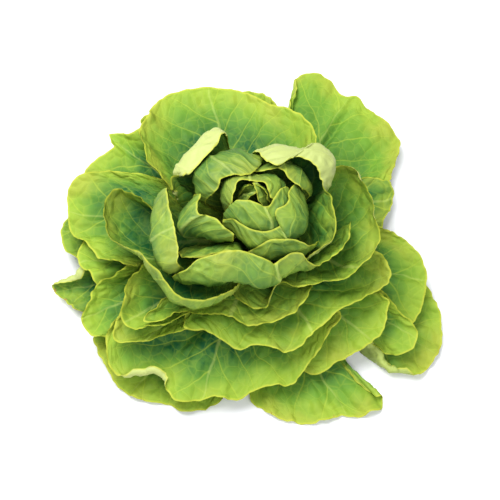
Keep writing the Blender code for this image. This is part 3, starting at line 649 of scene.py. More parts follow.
def evened(bend):
    """A leaf's bending shared with the points round each point, so that it bends and doesn't dent."""
    padded = np.concatenate([bend[:1], bend, bend[-1:]], 0)
    soft = 0.5 * bend + 0.25 * (padded[:-2] + padded[2:])
    padded = np.concatenate([soft[:, :1], soft, soft[:, -1:]], 1)
    return 0.5 * soft + 0.25 * (padded[:, :-2] + padded[:, 2:])


def spread(shares, count):
    """Weights that carry values at count even places to other places, along a smooth curve."""
    at = shares * (count - 1)
    k = np.minimum(at.astype(int), count - 2)
    t = at - k
    weights = np.zeros((len(shares), count))
    parts = (-t + 2 * t**2 - t**3, 2 - 5 * t**2 + 3 * t**3, t + 4 * t**2 - 3 * t**3, t**3 - t**2)
    for shift, part in zip((-1, 0, 1, 2), parts):
        np.add.at(weights, (np.arange(len(shares)), np.clip(k + shift, 0, count - 1)), part / 2)
    return weights


@functools.cache
def settled_leaves():
    """Each leaf's fine middle surface, rows, rim length and order, as the solids lie."""
    settled = []
    leaves = {}
    for order, (name, direction, lean, stations) in enumerate(LEAVES):
        place = order / (len(LEAVES) - 1)
        even = np.linspace(0, 1, POINTS_ALONG)
        grid, rim_length = unsettled_leaf(direction, lean, stations, place, POINTS_ACROSS, even)
        step = WIDE_STEP if rim_length > WIDE_RIM else NARROW_STEP
        grid = grid[::step, ::ROW_STEP]
        shape = (POINTS_ACROSS, POINTS_ALONG)
        furthest = np.interp(place, HEART_PLACES, MOST_BENDS)
        deep = np.interp(place, HEART_PLACES, INNER_DEPTHS)
        growth = np.minimum(1, GAP_GROWTH * np.linspace(0, 1, POINTS_ALONG))
        gaps = np.tile(shared(BASE_GAP, BLADE_GAP, growth), POINTS_ACROSS)
        at_edge = np.zeros(shape, bool)
        at_edge[[0, -1]] = True
        at_edge[:, [0, -1]] = True
        at_edge = at_edge.reshape(-1)
        bend = np.zeros_like(grid)
        for turn in range(SETTLE_ROUNDS + 1):
            bent = grid + bend
            bent[..., 2] = np.maximum(bent[..., 2], FLOOR_CLEARANCE)
            points = between(bent, step, ROW_STEP)
            normals = upper_normals(points).reshape(-1, 3)
            points = points.reshape(-1, 3)
            move = pushes(points, normals, at_edge, gaps, deep, settled)
            length = np.linalg.norm(move, axis=1, keepdims=True)
            if turn == SETTLE_ROUNDS or length.max() < SETTLED:
                break
            move *= np.minimum(1, LONGEST_MOVE / np.maximum(length, TINY))
            bend += gathered(move.reshape(*shape, 3), step, ROW_STEP)
            if turn < SETTLE_ROUNDS - PLAIN_ROUNDS:
                bend = evened(bend)
            length = np.linalg.norm(bend, axis=-1, keepdims=True)
            bend *= np.minimum(1, furthest / np.maximum(length, TINY))
            bend[:, 0, :2] = 0
            bend[:, 0, 2] = abs(bend[:, 0, 2])
        settled.append((points, normals, at_edge))
        columns = WIDE_COLUMNS if rim_length > WIDE_RIM else NARROW_COLUMNS
        rows = np.interp(np.linspace(0, 1, FINE_ROWS), *zip(*ROW_PLACES))
        fine, _ = unsettled_leaf(direction, lean, stations, place, columns, rows)
        across = spread(np.linspace(0, 1, columns), grid.shape[0])
        along = spread(rows, grid.shape[1])
        fine += np.einsum("ai,ijk,bj->abk", across, bent - grid, along)
        leaves[name] = (fine, rows, rim_length, order)
    return leaves


def linear(text):
    """An sRGB colour written as hex, as linear red, green and blue."""
    levels = [int(text[k:k + 2], 16) / 255 for k in (1, 3, 5)]
    return tuple(v / 12.92 if v <= 0.04045 else ((v + 0.055) / 1.055) ** 2.4 for v in levels)


def add_node(tree, kind, inputs=None, **settings):
    """The outputs of a new node with these settings, its inputs set to values or linked."""
    node = tree.nodes.new(kind)
    for name, value in settings.items():
        setattr(node, name, value)
    for key, value in (inputs or {}).items():
        if isinstance(value, bpy.types.NodeSocket):
            tree.links.new(value, node.inputs[key])
        else:
            node.inputs[key].default_value = value
    return node.outputs


def ramp(name, value):
    """A value and the limits of the ramp with this name, as inputs of a map range."""
    return dict(zip(("Value", "From Min", "From Max", "To Min", "To Max"), (value, *RAMPS[name])))


def length_property(title, about, default, highest, lowest=0):
    """A length that a user may change, given in millimetres."""
    return bpy.props.FloatProperty(
        name=title, description=about, default=default * MM, min=lowest * MM, max=highest * MM,
        precision=4, subtype="DISTANCE", unit="LENGTH")


def colour_property(title, about, text):
    """A colour that a user may change, given as sRGB hex."""
    return bpy.props.FloatVectorProperty(
        name=title, description=about, default=linear(text), size=3, min=0, max=1, subtype="COLOR")


def power_property(title, about, default):
    """The power of a light, in watts."""
    return bpy.props.FloatProperty(
        name=title, description=about, default=default, min=0, subtype="POWER", unit="POWER")


class LettuceSizes(bpy.types.PropertyGroup):
    """Sizes of the blades that a user may change."""

    blade_thickness: length_property(
        "Blade thickness", "Thickness of a leaf's blade away from its edge", 0.8, 2, 0.3)
    pucker_height: length_property(
        "Pucker height", "How far the blade swells between two side veins", 0.45, 4)
    blister_height: length_property(
        "Blister height", "How far the blade swells in a cell of the vein net", 1.3, 3)
    rib_height: length_property(
        "Rib height", "How far the midrib stands out under the blade at its base", 1.6, 4)
    ruffle: bpy.props.FloatProperty(
        name="Ruffle", description="Strength of the ruffles at the rims",
        default=1.0, min=0, max=2, subtype="FACTOR")
    tooth_length: length_property(
        "Tooth length", "Depth of the small notches in the outer leaves' rims", 1.8, 4)


class LettuceColours(bpy.types.PropertyGroup):
    """Colours of the leaves and the stem."""

    rim_green: colour_property("Rim green", "Yellow-green of the blade near its rim", "#A3BD46")
    sunned: colour_property("Sunned", "Yellower green of the patches that had most sun", "#B3B64C")
    blade_green: colour_property("Blade green", "Green of the middle of the blade", "#7AA53E")
    # Partly painted shade: the leaf's darker green between the veins, laid on also as shade deep in the
    # cups and on the heart.
    deep_and_shaded_green: colour_property(
        "Deep green", "Green of the patches between the veins, deep in a cup", "#22643A")
    # Painted shade: a dark green that stands for the shade low between the packed inner leaves.
    between: colour_property(
        "Between leaves", "Dark, moist green low between the packed inner leaves", "#1B4A20")
    margin: colour_property("Margin", "Thin pale yellow line along a leaf's edge", "#CCCF4E")
    vein: colour_property("Vein", "Pale green of the veins", "#B9CC4E")
    midrib: colour_property("Midrib", "Whitish green of the broad base of the midrib", "#C9D67C")
    underside: colour_property("Underside", "Pale, dull green of a leaf's outer face", "#C6D084")
    let_through: colour_property(
        "Light let through", "Colour of light that comes through a blade", "#BFE03A")
    stem_side: colour_property("Stem side", "Pale green of the stem's side", "#D5DDA0")
    cut_face: colour_property("Cut face", "Cream of the stem where it was cut", "#EFE9C8")
    browned: colour_property(
        "Browned", "Brown of the cut face's dried rim and of specks on the oldest leaves", "#A9714A")


class LettuceStage(bpy.types.PropertyGroup):
    """The floor, the lights and the camera."""

    floor: colour_property("Floor", "Colour of the plain floor", "#F4F4F7")
    sky_strength: bpy.props.FloatProperty(
        name="Fill", description="Strength of the even light from all round", default=0.38, min=0)
    key_power: power_property("Key", "Power of the soft light from above and behind", 18.5)
    front_power: power_property("Front", "Power of the soft light from the camera's side", 13)


def vein_pattern(add, place):
    """Nodes for the veins at a place on a blade laid flat. The same in a relief and in a finish."""
    number = add("ShaderNodeSeparateXYZ", {0: place})["Z"]
    bend = add(NOISE, {"Vector": place, "Scale": 1 / BEND_SIZE, "Detail": 1.0})["Color"]
    shift = add(VECTOR_MATH, {0: bend, 1: (0.5, 0.5, 0.5)}, operation="SUBTRACT")[0]
    moved = add(VECTOR_MATH, {0: shift, 1: (BEND_REACH, BEND_REACH, 0), 2: place},
                operation="MULTIPLY_ADD")[0]
    bent = add("ShaderNodeSeparateXYZ", {0: moved})
    aside = add(MATH, {0: bent["X"]}, operation="ABSOLUTE")[0]
    out = add(MATH, {0: bent["Y"], 1: FIRST_VEIN}, operation="MAXIMUM")[0]
    turned = add(MATH, {0: aside, 1: out}, operation="DIVIDE")[0]
    steep = add(MATH, {0: turned, 1: 1 / math.tan(VEIN_ANGLE)}, operation="MULTIPLY")[0]
    grown = add(MATH, {0: out, 1: math.e}, operation="LOGARITHM")[0]
    phase = add(MATH, {0: grown, 1: steep}, operation="SUBTRACT")[0]
    left = add(MATH, {0: bent["X"], 1: 0}, operation="LESS_THAN")[0]
    half = add(MATH, {0: left, 1: LEFT_VEINS_SHIFT, 2: number}, operation="MULTIPLY_ADD")[0]
    count = add(MATH, {0: phase, 1: 1 / VEIN_STEP, 2: half}, operation="MULTIPLY_ADD")[0]
    swing = add(MATH, {0: count, 1: 0.5}, operation="PINGPONG")[0]
    apart = add(MATH, {0: swing, 1: out}, operation="MULTIPLY")[0]
    distance = add(MATH, {0: apart, 1: VEIN_STEP * math.sin(VEIN_ANGLE)}, operation="MULTIPLY")[0]
    lateral_half = add(MAP_RANGE, ramp("lateral half", aside))[0]
    lateral_share = add(MATH, {0: distance, 1: lateral_half}, operation="DIVIDE")[0]
    midrib_half = add(MAP_RANGE, ramp("midrib half", bent["Y"]))[0]
    midrib_share = add(MATH, {0: aside, 1: midrib_half}, operation="DIVIDE")[0]
    cells = add(VECTOR_MATH, {0: moved, 1: (1 / NET_CELL, 1 / NET_CELL, LEAF_APART)},
                operation="MULTIPLY")[0]
    net = add(CELLS, {"Vector": cells, "Scale": 1.0}, feature="DISTANCE_TO_EDGE")["Distance"]
    return {
        "lateral": add(MAP_RANGE, ramp("lateral", lateral_share), interpolation_type=SMOOTH)[0],
        "midrib": add(MAP_RANGE, ramp("midrib", midrib_share), interpolation_type=SMOOTH)[0],
        "swell": add(MAP_RANGE, ramp("swell", swing), interpolation_type="SMOOTHERSTEP")[0],
        "blister": add(MAP_RANGE, ramp("blister", net), interpolation_type=SMOOTH)[0],
        "net": net, "out": bent["Y"], "moved": moved, "number": number,
    }


def blade_relief_tree():
    """Geometry nodes that give a flat-lying blade its puckers, its ribs and its thickness."""
    tree = bpy.data.node_groups.new(RELIEF_NAME, "GeometryNodeTree")
    add = functools.partial(add_node, tree)
    interface = tree.interface
    interface.new_socket("Geometry", in_out="INPUT", socket_type="NodeSocketGeometry")
    for name in ("Blade thickness", "Pucker height", "Blister height", "Rib height"):
        interface.new_socket(name, in_out="INPUT", socket_type="NodeSocketFloat")
    interface.new_socket("Leaf finish", in_out="INPUT", socket_type="NodeSocketMaterial")
    interface.new_socket("Geometry", in_out="OUTPUT", socket_type="NodeSocketGeometry")
    given = add("NodeGroupInput")
    place, edge, normal, side = (
        add("GeometryNodeInputNamedAttribute", {"Name": name}, data_type=kind)["Attribute"]
        for name, kind in (("leaf_place", "FLOAT_VECTOR"), ("leaf_edge", "FLOAT_VECTOR"),
                           ("blade_normal", "FLOAT_VECTOR"), ("blade_side", "FLOAT")))
    veins = vein_pattern(add, place)
    from_edge = add("ShaderNodeSeparateXYZ", {0: edge})["Y"]

    loose = add(MAP_RANGE, ramp("loose", veins["out"]), interpolation_type=SMOOTH)[0]
    swell = add(MATH, {0: veins["swell"], 1: given["Pucker height"]}, operation="MULTIPLY")[0]
    raised = add(MATH, {0: veins["blister"], 1: given["Blister height"], 2: swell},
                 operation="MULTIPLY_ADD")[0]
    highest = add(MATH, {0: given["Pucker height"], 1: given["Blister height"]}, operation="ADD")[0]
    centred = add(MATH, {0: highest, 1: -RELIEF_MIDDLE, 2: raised}, operation="MULTIPLY_ADD")[0]
    relief = add(MATH, {0: centred, 1: loose}, operation="MULTIPLY")[0]

    taper = add(MAP_RANGE, ramp("taper", from_edge))[0]
    half = add(MATH, {0: taper, 1: given["Blade thickness"]}, operation="MULTIPLY")[0]
    layer = add(MATH, {0: half, 1: side}, operation="MULTIPLY")[0]
    under = add(MATH, {0: side, 1: 0.0}, operation="MINIMUM")[0]
    fade = add(MAP_RANGE, ramp("rib height", veins["out"]))[0]
    rib = add(MATH, {0: veins["midrib"], 1: fade}, operation="MULTIPLY")[0]
    both_ribs = add(MATH, {0: veins["lateral"], 1: LATERAL_RISE, 2: rib}, operation="MULTIPLY_ADD")[0]
    rib_below = add(MATH, {0: both_ribs, 1: given["Rib height"]}, operation="MULTIPLY")[0]
    near_edge = add(MAP_RANGE, ramp("rib near edge", from_edge))[0]
    rib_faded = add(MATH, {0: rib_below, 1: near_edge}, operation="MULTIPLY")[0]
    height = add(MATH, {0: rib_faded, 1: under, 2: layer}, operation="MULTIPLY_ADD")[0]

    shaped = given["Geometry"]
    for distance, clearance in ((relief, MIDDLE_CLEARANCE), (height, FACE_CLEARANCE)):
        move = add(VECTOR_MATH, {0: normal, "Scale": distance}, operation="SCALE")[0]
        moved = add("GeometryNodeSetPosition", {"Geometry": shaped, "Offset": move})["Geometry"]
        reached = add("GeometryNodeInputPosition")[0]
        lifted = add(VECTOR_MATH, {0: reached, 1: (-FAR, -FAR, clearance)}, operation="MAXIMUM")[0]
        shaped = add("GeometryNodeSetPosition", {"Geometry": moved, "Position": lifted})["Geometry"]
    real = add("GeometryNodeRealizeInstances", {0: shaped})[0]
    finished = add("GeometryNodeSetMaterial", {"Geometry": real, "Material": given["Leaf finish"]})
    add("NodeGroupOutput", {0: finished["Geometry"]})
    return tree


def leaf_finish(colours):
    """Fresh butterhead leaf: a thin waxy skin over moist tissue.

    It gives the eye a soft sheen, paler veins, a yellow edge, a pale dull outer face, and light
    that comes through where a blade is lit from behind. Its colour also holds painted shade: darker
    green deep in the cups and on the heart, and a dark green low between the inner leaves.
    """
    material = bpy.data.materials.new(LEAF_NAME)
    material.use_nodes = True
    material.node_tree.nodes.clear()
    add = functools.partial(add_node, material.node_tree)
    place, edge = (add("ShaderNodeAttribute", attribute_name=name)["Vector"]
                   for name in ("leaf_place", "leaf_edge"))
    side, paleness, deeper = (add("ShaderNodeAttribute", attribute_name=name)["Fac"]
                              for name in ("blade_side", "leaf_paleness", "leaf_deeper"))
    from_rim = add("ShaderNodeSeparateXYZ", {0: edge})["X"]
    veins = vein_pattern(add, place)
    by_leaf = add(VECTOR_MATH, {0: veins["moved"], 1: (1, 1, NOISE_APART)}, operation="MULTIPLY")[0]
    patches, mottle, sunned, grain = (
        add(NOISE, {"Vector": by_leaf, "Scale": 1 / size, "Detail": detail})["Fac"]
        for size, detail in LEAF_NOISES)

    # Yellow-green at the rim, plain green inwards of an uneven line, and sunned patches.
    uneven = add(MATH, {0: patches, 1: RIM_UNEVENNESS, 2: from_rim}, operation="MULTIPLY_ADD")[0]
    inwards = add(MAP_RANGE, ramp("inwards", uneven), interpolation_type=SMOOTH)[0]
    in_sun = add(MAP_RANGE, ramp("in sun", sunned), interpolation_type=SMOOTH)[0]

    # Deep green, partly the leaf's own darker patches between the veins and partly painted shade: it
    # grows far from the rim and on the inner leaves of the heart, and is strongest between the veins.
    hearted = add(MAP_RANGE, ramp("hearted", veins["number"]))[0]
    depth = add(MAP_RANGE, ramp("depth", from_rim), interpolation_type=SMOOTH)[0]
    own_depth = add(MATH, {0: depth, 1: deeper}, operation="ADD", use_clamp=True)[0]
    painted_cup_shade = add(MATH, {0: own_depth, 1: hearted}, operation="MAXIMUM")[0]
    between_veins = add(MAP_RANGE, ramp("between veins", patches))[0]
    patched = add(MATH, {0: painted_cup_shade, 1: between_veins}, operation="MULTIPLY")[0]
    in_cell = add(MAP_RANGE, ramp("in cell", mottle))[0]
    deep = add(MATH, {0: patched, 1: in_cell}, operation="MULTIPLY", use_clamp=True)[0]

    cell_line = add(MAP_RANGE, ramp("cell line", veins["net"]), interpolation_type=SMOOTH)[0]
    line = add(MATH, {0: veins["lateral"], 1: cell_line}, operation="MAXIMUM")[0]
    faint = add(MATH, {0: line, 1: VEIN_STRENGTH}, operation="MULTIPLY")[0]
    rib_fade = add(MAP_RANGE, ramp("rib colour", veins["out"]))[0]
    rib = add(MATH, {0: veins["midrib"], 1: rib_fade}, operation="MULTIPLY")[0]

    # Painted shade: a dark green low between the imported inner leaves, far from their rims, less of it
    # on their outer faces.
    hidden = add(MAP_RANGE, ramp("hidden", from_rim), interpolation_type=SMOOTH)[0]
    by_face = add(MAP_RANGE, ramp("by face", side))[0]
    packed = add(MATH, {0: hidden, 1: hearted}, operation="MULTIPLY")[0]
    painted_gap_shade = add(MATH, {0: packed, 1: by_face}, operation="MULTIPLY", use_clamp=True)[0]

    outer_face = add(MATH, {0: side, 1: 0.0}, operation="LESS_THAN")[0]
    paled = add(MATH, {0: outer_face, 1: paleness}, operation="MULTIPLY")[0]
    at_margin = add(MAP_RANGE, ramp("margin", from_rim), interpolation_type=SMOOTH)[0]

    # Small dry specks at the rims of the two oldest leaves.
    oldest = add(MATH, {0: veins["number"], 1: SPECKED_BELOW}, operation="LESS_THAN")[0]
    dry_edge = add(MAP_RANGE, ramp("dry edge", from_rim))[0]
    dotted = add(MAP_RANGE, ramp("dotted", mottle))[0]
    dry = add(MATH, {0: dotted, 1: dry_edge}, operation="MULTIPLY")[0]
    speck = add(MATH, {0: dry, 1: oldest}, operation="MULTIPLY")[0]

    colour = (*colours.rim_green, 1)
    # The deep green here holds painted shade in the cups and heart; the between-leaves green is painted
    # shade low between the inner leaves.
    for share, over in (
        (in_sun, colours.sunned), (inwards, colours.blade_green), (deep, colours.deep_and_shaded_green),
        (faint, colours.vein), (rib, colours.midrib), (painted_gap_shade, colours.between),
        (paled, colours.underside), (at_margin, colours.margin), (speck, colours.browned),
    ):
        colour = add(MIX, {0: share, 6: colour, 7: (*over, 1)}, data_type="RGBA")[2]

    cells = add(VECTOR_MATH, {0: veins["moved"], 1: (1 / FINE_NET_CELL, 1 / FINE_NET_CELL, LEAF_APART)},
                operation="MULTIPLY")[0]
    fine_net = add(CELLS, {"Vector": cells, "Scale": 1.0}, feature="DISTANCE_TO_EDGE")["Distance"]
    fine_swell = add(MAP_RANGE, ramp("fine swell", fine_net), interpolation_type=SMOOTH)[0]
    skin_height = add(MATH, {0: grain, 1: GRAIN_HEIGHT, 2: fine_swell}, operation="MULTIPLY_ADD")[0]
    grooved = add(MATH, {0: line, 1: -GROOVE_DEPTH, 2: skin_height}, operation="MULTIPLY_ADD")[0]
    bump = add("ShaderNodeBump", {"Strength": 0.5, "Distance": LEAF_BUMP, "Height": grooved})[0]
    even = add(MATH, {0: outer_face, 1: -OUTER_FACE_SHEEN, 2: LEAF_ROUGHNESS},
               operation="MULTIPLY_ADD")[0]
    roughness = add(MATH, {0: patches, 1: ROUGHNESS_CHANGE, 2: even}, operation="MULTIPLY_ADD")[0]
    skin = add("ShaderNodeBsdfPrincipled",
               {"Base Color": colour, "Roughness": roughness, "Normal": bump, "IOR": LEAF_IOR,
                "Specular IOR Level": LEAF_SPECULAR})[0]
    through_colour = add(MIX, {0: THROUGH_TINT, 6: colour, 7: (*colours.let_through, 1)},
                         data_type="RGBA")[2]
    through = add("ShaderNodeBsdfTranslucent", {"Color": through_colour, "Normal": bump})[0]
    thin = add(MATH, {0: rib, 1: -RIB_OPACITY, 2: LET_THROUGH}, operation="MULTIPLY_ADD")[0]
    mixed = add("ShaderNodeMixShader", {0: thin, 1: skin, 2: through})[0]
    add("ShaderNodeOutputMaterial", {"Surface": mixed})
    return material


def stem_finish(colours):
    """Cut lettuce stem: crisp pale tissue, matt and cream where the knife went, its rim browned."""
    material = bpy.data.materials.new("Cut lettuce stem")
    material.use_nodes = True
    material.node_tree.nodes.clear()
    add = functools.partial(add_node, material.node_tree)
    place = add("ShaderNodeTexCoord")["Object"]
    height = add("ShaderNodeSeparateXYZ", {0: place})["Z"]
    flat = add(VECTOR_MATH, {0: place, 1: (1, 1, 0)}, operation="MULTIPLY")[0]
    radius = add(VECTOR_MATH, {0: flat}, operation="LENGTH")["Value"]
    stretched = add(VECTOR_MATH, {0: place, 1: (1, 1, FIBRE_STRETCH)}, operation="MULTIPLY")[0]
    fibres = add(NOISE, {"Vector": stretched, "Scale": 1 / FIBRE_SIZE, "Detail": 3.0})["Fac"]
    blotches = add(NOISE, {"Vector": place, "Scale": 1 / BLOTCH_SIZE, "Detail": 2.0})["Fac"]
    on_face = add(MATH, {0: height, 1: CUT_FACE_DEPTH}, operation="LESS_THAN")[0]
    uneven = add(MATH, {0: blotches, 1: BLOTCH_REACH, 2: radius}, operation="MULTIPLY_ADD")[0]
    dried = add(MAP_RANGE, ramp("dried rim", uneven), interpolation_type=SMOOTH)[0]
    ring = add(MATH, {0: dried, 1: on_face}, operation="MULTIPLY")[0]
    colour = (*colours.stem_side, 1)
    for share, over in ((fibres, colours.vein), (on_face, colours.cut_face), (ring, colours.browned)):
        colour = add(MIX, {0: share, 6: colour, 7: (*over, 1)}, data_type="RGBA")[2]
    bump = add("ShaderNodeBump", {"Strength": 0.5, "Distance": STEM_BUMP, "Height": fibres})[0]
    skin = add("ShaderNodeBsdfPrincipled",
               {"Base Color": colour, "Roughness": STEM_ROUGHNESS, "Normal": bump,
                "Subsurface Weight": STEM_SUBSURFACE, "Subsurface Scale": STEM_SCATTER})[0]
    add("ShaderNodeOutputMaterial", {"Surface": skin})
    return material


def floor_finish(colour):
    """White sweep of painted board: even and matt."""
    material = bpy.data.materials.new("Matt white board")
    material.use_nodes = True
    tree = material.node_tree
    shader = tree.nodes["Principled BSDF"]
    shader.inputs["Base Color"].default_value = (*colour, 1)
    place = add_node(tree, "ShaderNodeTexCoord")["Object"]
    tooth = add_node(tree, NOISE, {"Vector": place, "Scale": 1 / BOARD_GRAIN})["Fac"]
    rough = add_node(tree, MAP_RANGE, ramp("board roughness", tooth))[0]
    tree.links.new(rough, shader.inputs["Roughness"])
    return material


def ruffled(grid, rows, rim_length, order, sizes):
    """A blade's middle surface with ruffles and, on the outer leaves, small notches at its rim."""
    chance = np.random.default_rng(SEED + order)
    inner = order / (len(LEAVES) - 1)
    along_rim = np.linspace(0, rim_length, len(grid))
    growth = np.clip((rows - RUFFLE_START) / (1 - RUFFLE_START), 0, 1) ** RUFFLE_GROWTH
    for wave, outer_height, inner_height in RUFFLES:
        swing = np.zeros(len(grid))
        for stretch in RUFFLE_STRETCHES:
            turn = chance.uniform(0, 2 * math.pi)
            swing += np.sin(2 * math.pi * along_rim / (wave * MM * stretch) + turn)
        height = shared(outer_height, inner_height, inner) * MM * sizes.ruffle
        height /= math.sqrt(len(RUFFLE_STRETCHES))
        grid = grid + (height * swing[:, None] * growth)[..., None] * upper_normals(grid)
    knots = np.arange(0, rim_length + TOOTH_WAVE, TOOTH_WAVE / 2)
    depth = np.interp(along_rim, knots, chance.uniform(0, 1, len(knots)) ** 2)
    outwards = grid[:, -1] - grid[:, -3]
    outwards /= np.linalg.norm(outwards, axis=1, keepdims=True)
    cut = depth * sizes.tooth_length * (1 - inner)
    near_rim = np.clip((rows - TOOTH_START) / (1 - TOOTH_START), 0, 1)
    return grid - (cut[:, None] * near_rim)[..., None] * outwards[:, None]


def folded(grid, start, end, width, turn):
    """A blade's middle surface with a stretch of its rim rolled up and over its inner face."""
    shares = np.linspace(0, 1, len(grid))
    strength = np.minimum(shares - start, end - shares) / (end - start)
    strength = np.clip(FOLD_EASING * strength, 0, 1)
    strength = strength * strength * (3 - 2 * strength)
    normals = upper_normals(grid)
    steps = np.linalg.norm(np.diff(grid, axis=1), axis=-1)
    to_rim = np.concatenate([np.cumsum(steps[:, ::-1], 1)[:, ::-1], np.zeros((len(grid), 1))], 1)
    rolled = grid.copy()
    for column in np.flatnonzero(strength):
        turned = math.radians(turn) * strength[column]
        first = int(np.argmax(to_rim[column] < width * MM * strength[column]))
        out = grid[column, first] - grid[column, first - 1]
        out /= np.linalg.norm(out)
        up = normals[column, first]
        for row in range(first + 1, grid.shape[1]):
            gone = to_rim[column, first] - (to_rim[column, row - 1] + to_rim[column, row]) / 2
            angle = min(gone / FOLD_RADIUS, turned)
            heading = math.cos(angle) * out + math.sin(angle) * up
            rolled[column, row] = rolled[column, row - 1] + heading * steps[column, row - 1]
    return rolled


def blade_mesh(name, grid, order, paleness, deeper):
    """A closed mesh of two faces that share their edge, with what the relief and finish read."""
    columns, rows = grid.shape[:2]
    steps_across = np.linalg.norm(np.diff(grid, axis=0), axis=-1)
    steps_along = np.linalg.norm(np.diff(grid, axis=1), axis=-1)
    across = np.concatenate([np.zeros((1, rows)), np.cumsum(steps_across, 0)])
    along = np.concatenate([np.zeros((columns, 1)), np.cumsum(steps_along, 1)], 1)
    from_side = np.minimum(across, across[-1:] - across)
    from_rim = np.minimum(along[:, -1:] - along, from_side)
    from_edge = np.minimum(from_rim, along)
    number = np.full_like(along, order * LEAF_NUMBER_STEP)
    place = np.stack([across - across[columns // 2], along, number], -1)
    edge = np.stack([from_rim, from_edge, np.zeros_like(along)], -1)

    inside = np.zeros((columns, rows), bool)
    inside[1:-1, 1:-1] = True
    upper = np.arange(columns * rows).reshape(columns, rows)
    lower = upper.copy()
    lower[inside] = columns * rows + np.arange(inside.sum())
    side = np.where(inside, 1.0, 0.0)

    def both(values):
        """Values of the upper face's points, then those of the lower face's own points."""
        own = values[inside].reshape(inside.sum(), -1)
        return np.concatenate([values.reshape(columns * rows, -1), own])

    corners = [sheet[a:a + columns - 1, b:b + rows - 1].reshape(-1)
               for sheet in (upper, lower) for a, b in ((0, 0), (0, 1), (1, 1), (1, 0))]
    faces = np.concatenate([np.stack(corners[:4], 1), np.stack(corners[:3:-1], 1)])
    mesh = bpy.data.meshes.new(name)
    mesh.from_pydata(both(grid).tolist(), [], faces.tolist())
    for title, kind, values in (
        ("leaf_place", "FLOAT_VECTOR", both(place)),
        ("leaf_edge", "FLOAT_VECTOR", both(edge)),
        ("blade_normal", "FLOAT_VECTOR", both(upper_normals(grid))),
        ("blade_side", "FLOAT", np.concatenate([side.reshape(-1), -np.ones(inside.sum())])),
        ("leaf_paleness", "FLOAT", both(np.full_like(along, paleness))),
        ("leaf_deeper", "FLOAT", both(np.full_like(along, deeper))),
    ):
        layer = mesh.attributes.new(title, kind, "POINT")
        field = "vector" if kind == "FLOAT_VECTOR" else "value"
        layer.data.foreach_set(field, values.reshape(-1))
    mesh.shade_smooth()
    ends = np.empty(len(mesh.edges) * 2, int)
    mesh.edges.foreach_get("vertices", ends)
    ends = ends.reshape(-1, 2)
    at_rim = (ends < columns * rows) & ~inside.reshape(-1)[ends % (columns * rows)]
    mesh.edges.foreach_set("use_edge_sharp", at_rim.all(1))
    return mesh


def make_leaves(context, first_words):
    """The leaves whose names start with these words, each riding and standing for its node."""
    sizes = context.scene.lettuce_sizes
    relief = bpy.data.node_groups.get(RELIEF_NAME) or blade_relief_tree()
    finish = bpy.data.materials.get(LEAF_NAME) or leaf_finish(context.scene.lettuce_colours)
    inputs = {item.name: item.identifier for item in relief.interface.items_tree
              if item.in_out == "INPUT"}
    for name, (grid, rows, rim_length, order) in settled_leaves().items():
        if not name.startswith(first_words):
            continue
        grid = ruffled(grid, rows, rim_length, order, sizes)
        if name in FOLDS:
            grid = folded(grid, *FOLDS[name])
        title = name + "_blade"
        mesh = blade_mesh(title, grid, order, PALE_OUTSIDES.get(name, OUTSIDE_PALENESS),
                          DEEPER_GREENS_AND_SHADE.get(name, 0.0))
        piece = bpy.data.objects.new(title, mesh)
        context.scene.collection.objects.link(piece)
        shaper = piece.modifiers.new("Blade relief", "NODES")
        shaper.node_group = relief
        for socket, value in (
            ("Blade thickness", sizes.blade_thickness), ("Pucker height", sizes.pucker_height),
            ("Blister height", sizes.blister_height), ("Rib height", sizes.rib_height),
            ("Leaf finish", finish),
        ):
            shaper[inputs[socket]] = value
        graph = context.evaluated_depsgraph_get()
        plain = bpy.data.meshes.new_from_object(piece.evaluated_get(graph), depsgraph=graph)
        piece.modifiers.clear()
        piece.data = plain
        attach(piece, "root")
        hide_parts(name)


class LETTUCE_OT_stem(bpy.types.Operator):
    """Makes the cut stem, whose flat face the head stands on"""

    bl_idname = "lettuce.stem"
    bl_label = "Cut stem"

    def execute(self, context):
        profile = np.array(STEM_PROFILE, float)
        steps = np.concatenate([[0], np.cumsum(np.linalg.norm(np.diff(profile, axis=0), axis=1))])
        where = np.unique(np.concatenate([steps, np.linspace(0, steps[-1], STEM_ROWS)]))
        radius = np.interp(where, steps, profile[:, 0]) * MM
        height = np.interp(where, steps, profile[:, 1]) * MM
        turn = np.linspace(0, 2 * math.pi, STEM_SIDES, endpoint=False)
        scars = SCAR_DEPTH * np.sin(STEM_SCARS * turn[None] + height[:, None] / SCAR_PITCH)
        scars *= ((height > SCARRED_ABOVE) & (radius > SCARRED_OVER))[:, None]
        rings = radius[1:-1, None] - np.abs(scars[1:-1])
        places = np.stack([rings * np.cos(turn), rings * np.sin(turn),
                           np.repeat(height[1:-1, None], STEM_SIDES, 1)], -1).reshape(-1, 3)
        points = [(0, 0, 0), *places.tolist(), (0, 0, height[-1])]
        count = len(rings)
        faces = []
        for k in range(STEM_SIDES):
            after = (k + 1) % STEM_SIDES
            faces.append((0, 1 + after, 1 + k))
            for ring in range(count - 1):
                low, high = 1 + ring * STEM_SIDES, 1 + (ring + 1) * STEM_SIDES
                faces.append((low + k, low + after, high + after, high + k))
            last = 1 + (count - 1) * STEM_SIDES
            faces.append((last + k, last + after, len(points) - 1))
        mesh = bpy.data.meshes.new("cut_stem")
        mesh.from_pydata(points, [], faces)
        mesh.shade_smooth()
        mesh.set_sharp_from_angle(angle=STEM_SHARP)
        mesh.materials.append(stem_finish(context.scene.lettuce_colours))
        piece = bpy.data.objects.new("cut_stem", mesh)
        context.scene.collection.objects.link(piece)
        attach(piece, "root")
        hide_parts("stem")
        return {"FINISHED"}


class LETTUCE_OT_outer_leaves(bpy.types.Operator):
    """Makes the open outer leaves"""

    bl_idname = "lettuce.outer_leaves"
    bl_label = "Outer leaves"

    def execute(self, context):
        make_leaves(context, "outer_leaf")
        return {"FINISHED"}


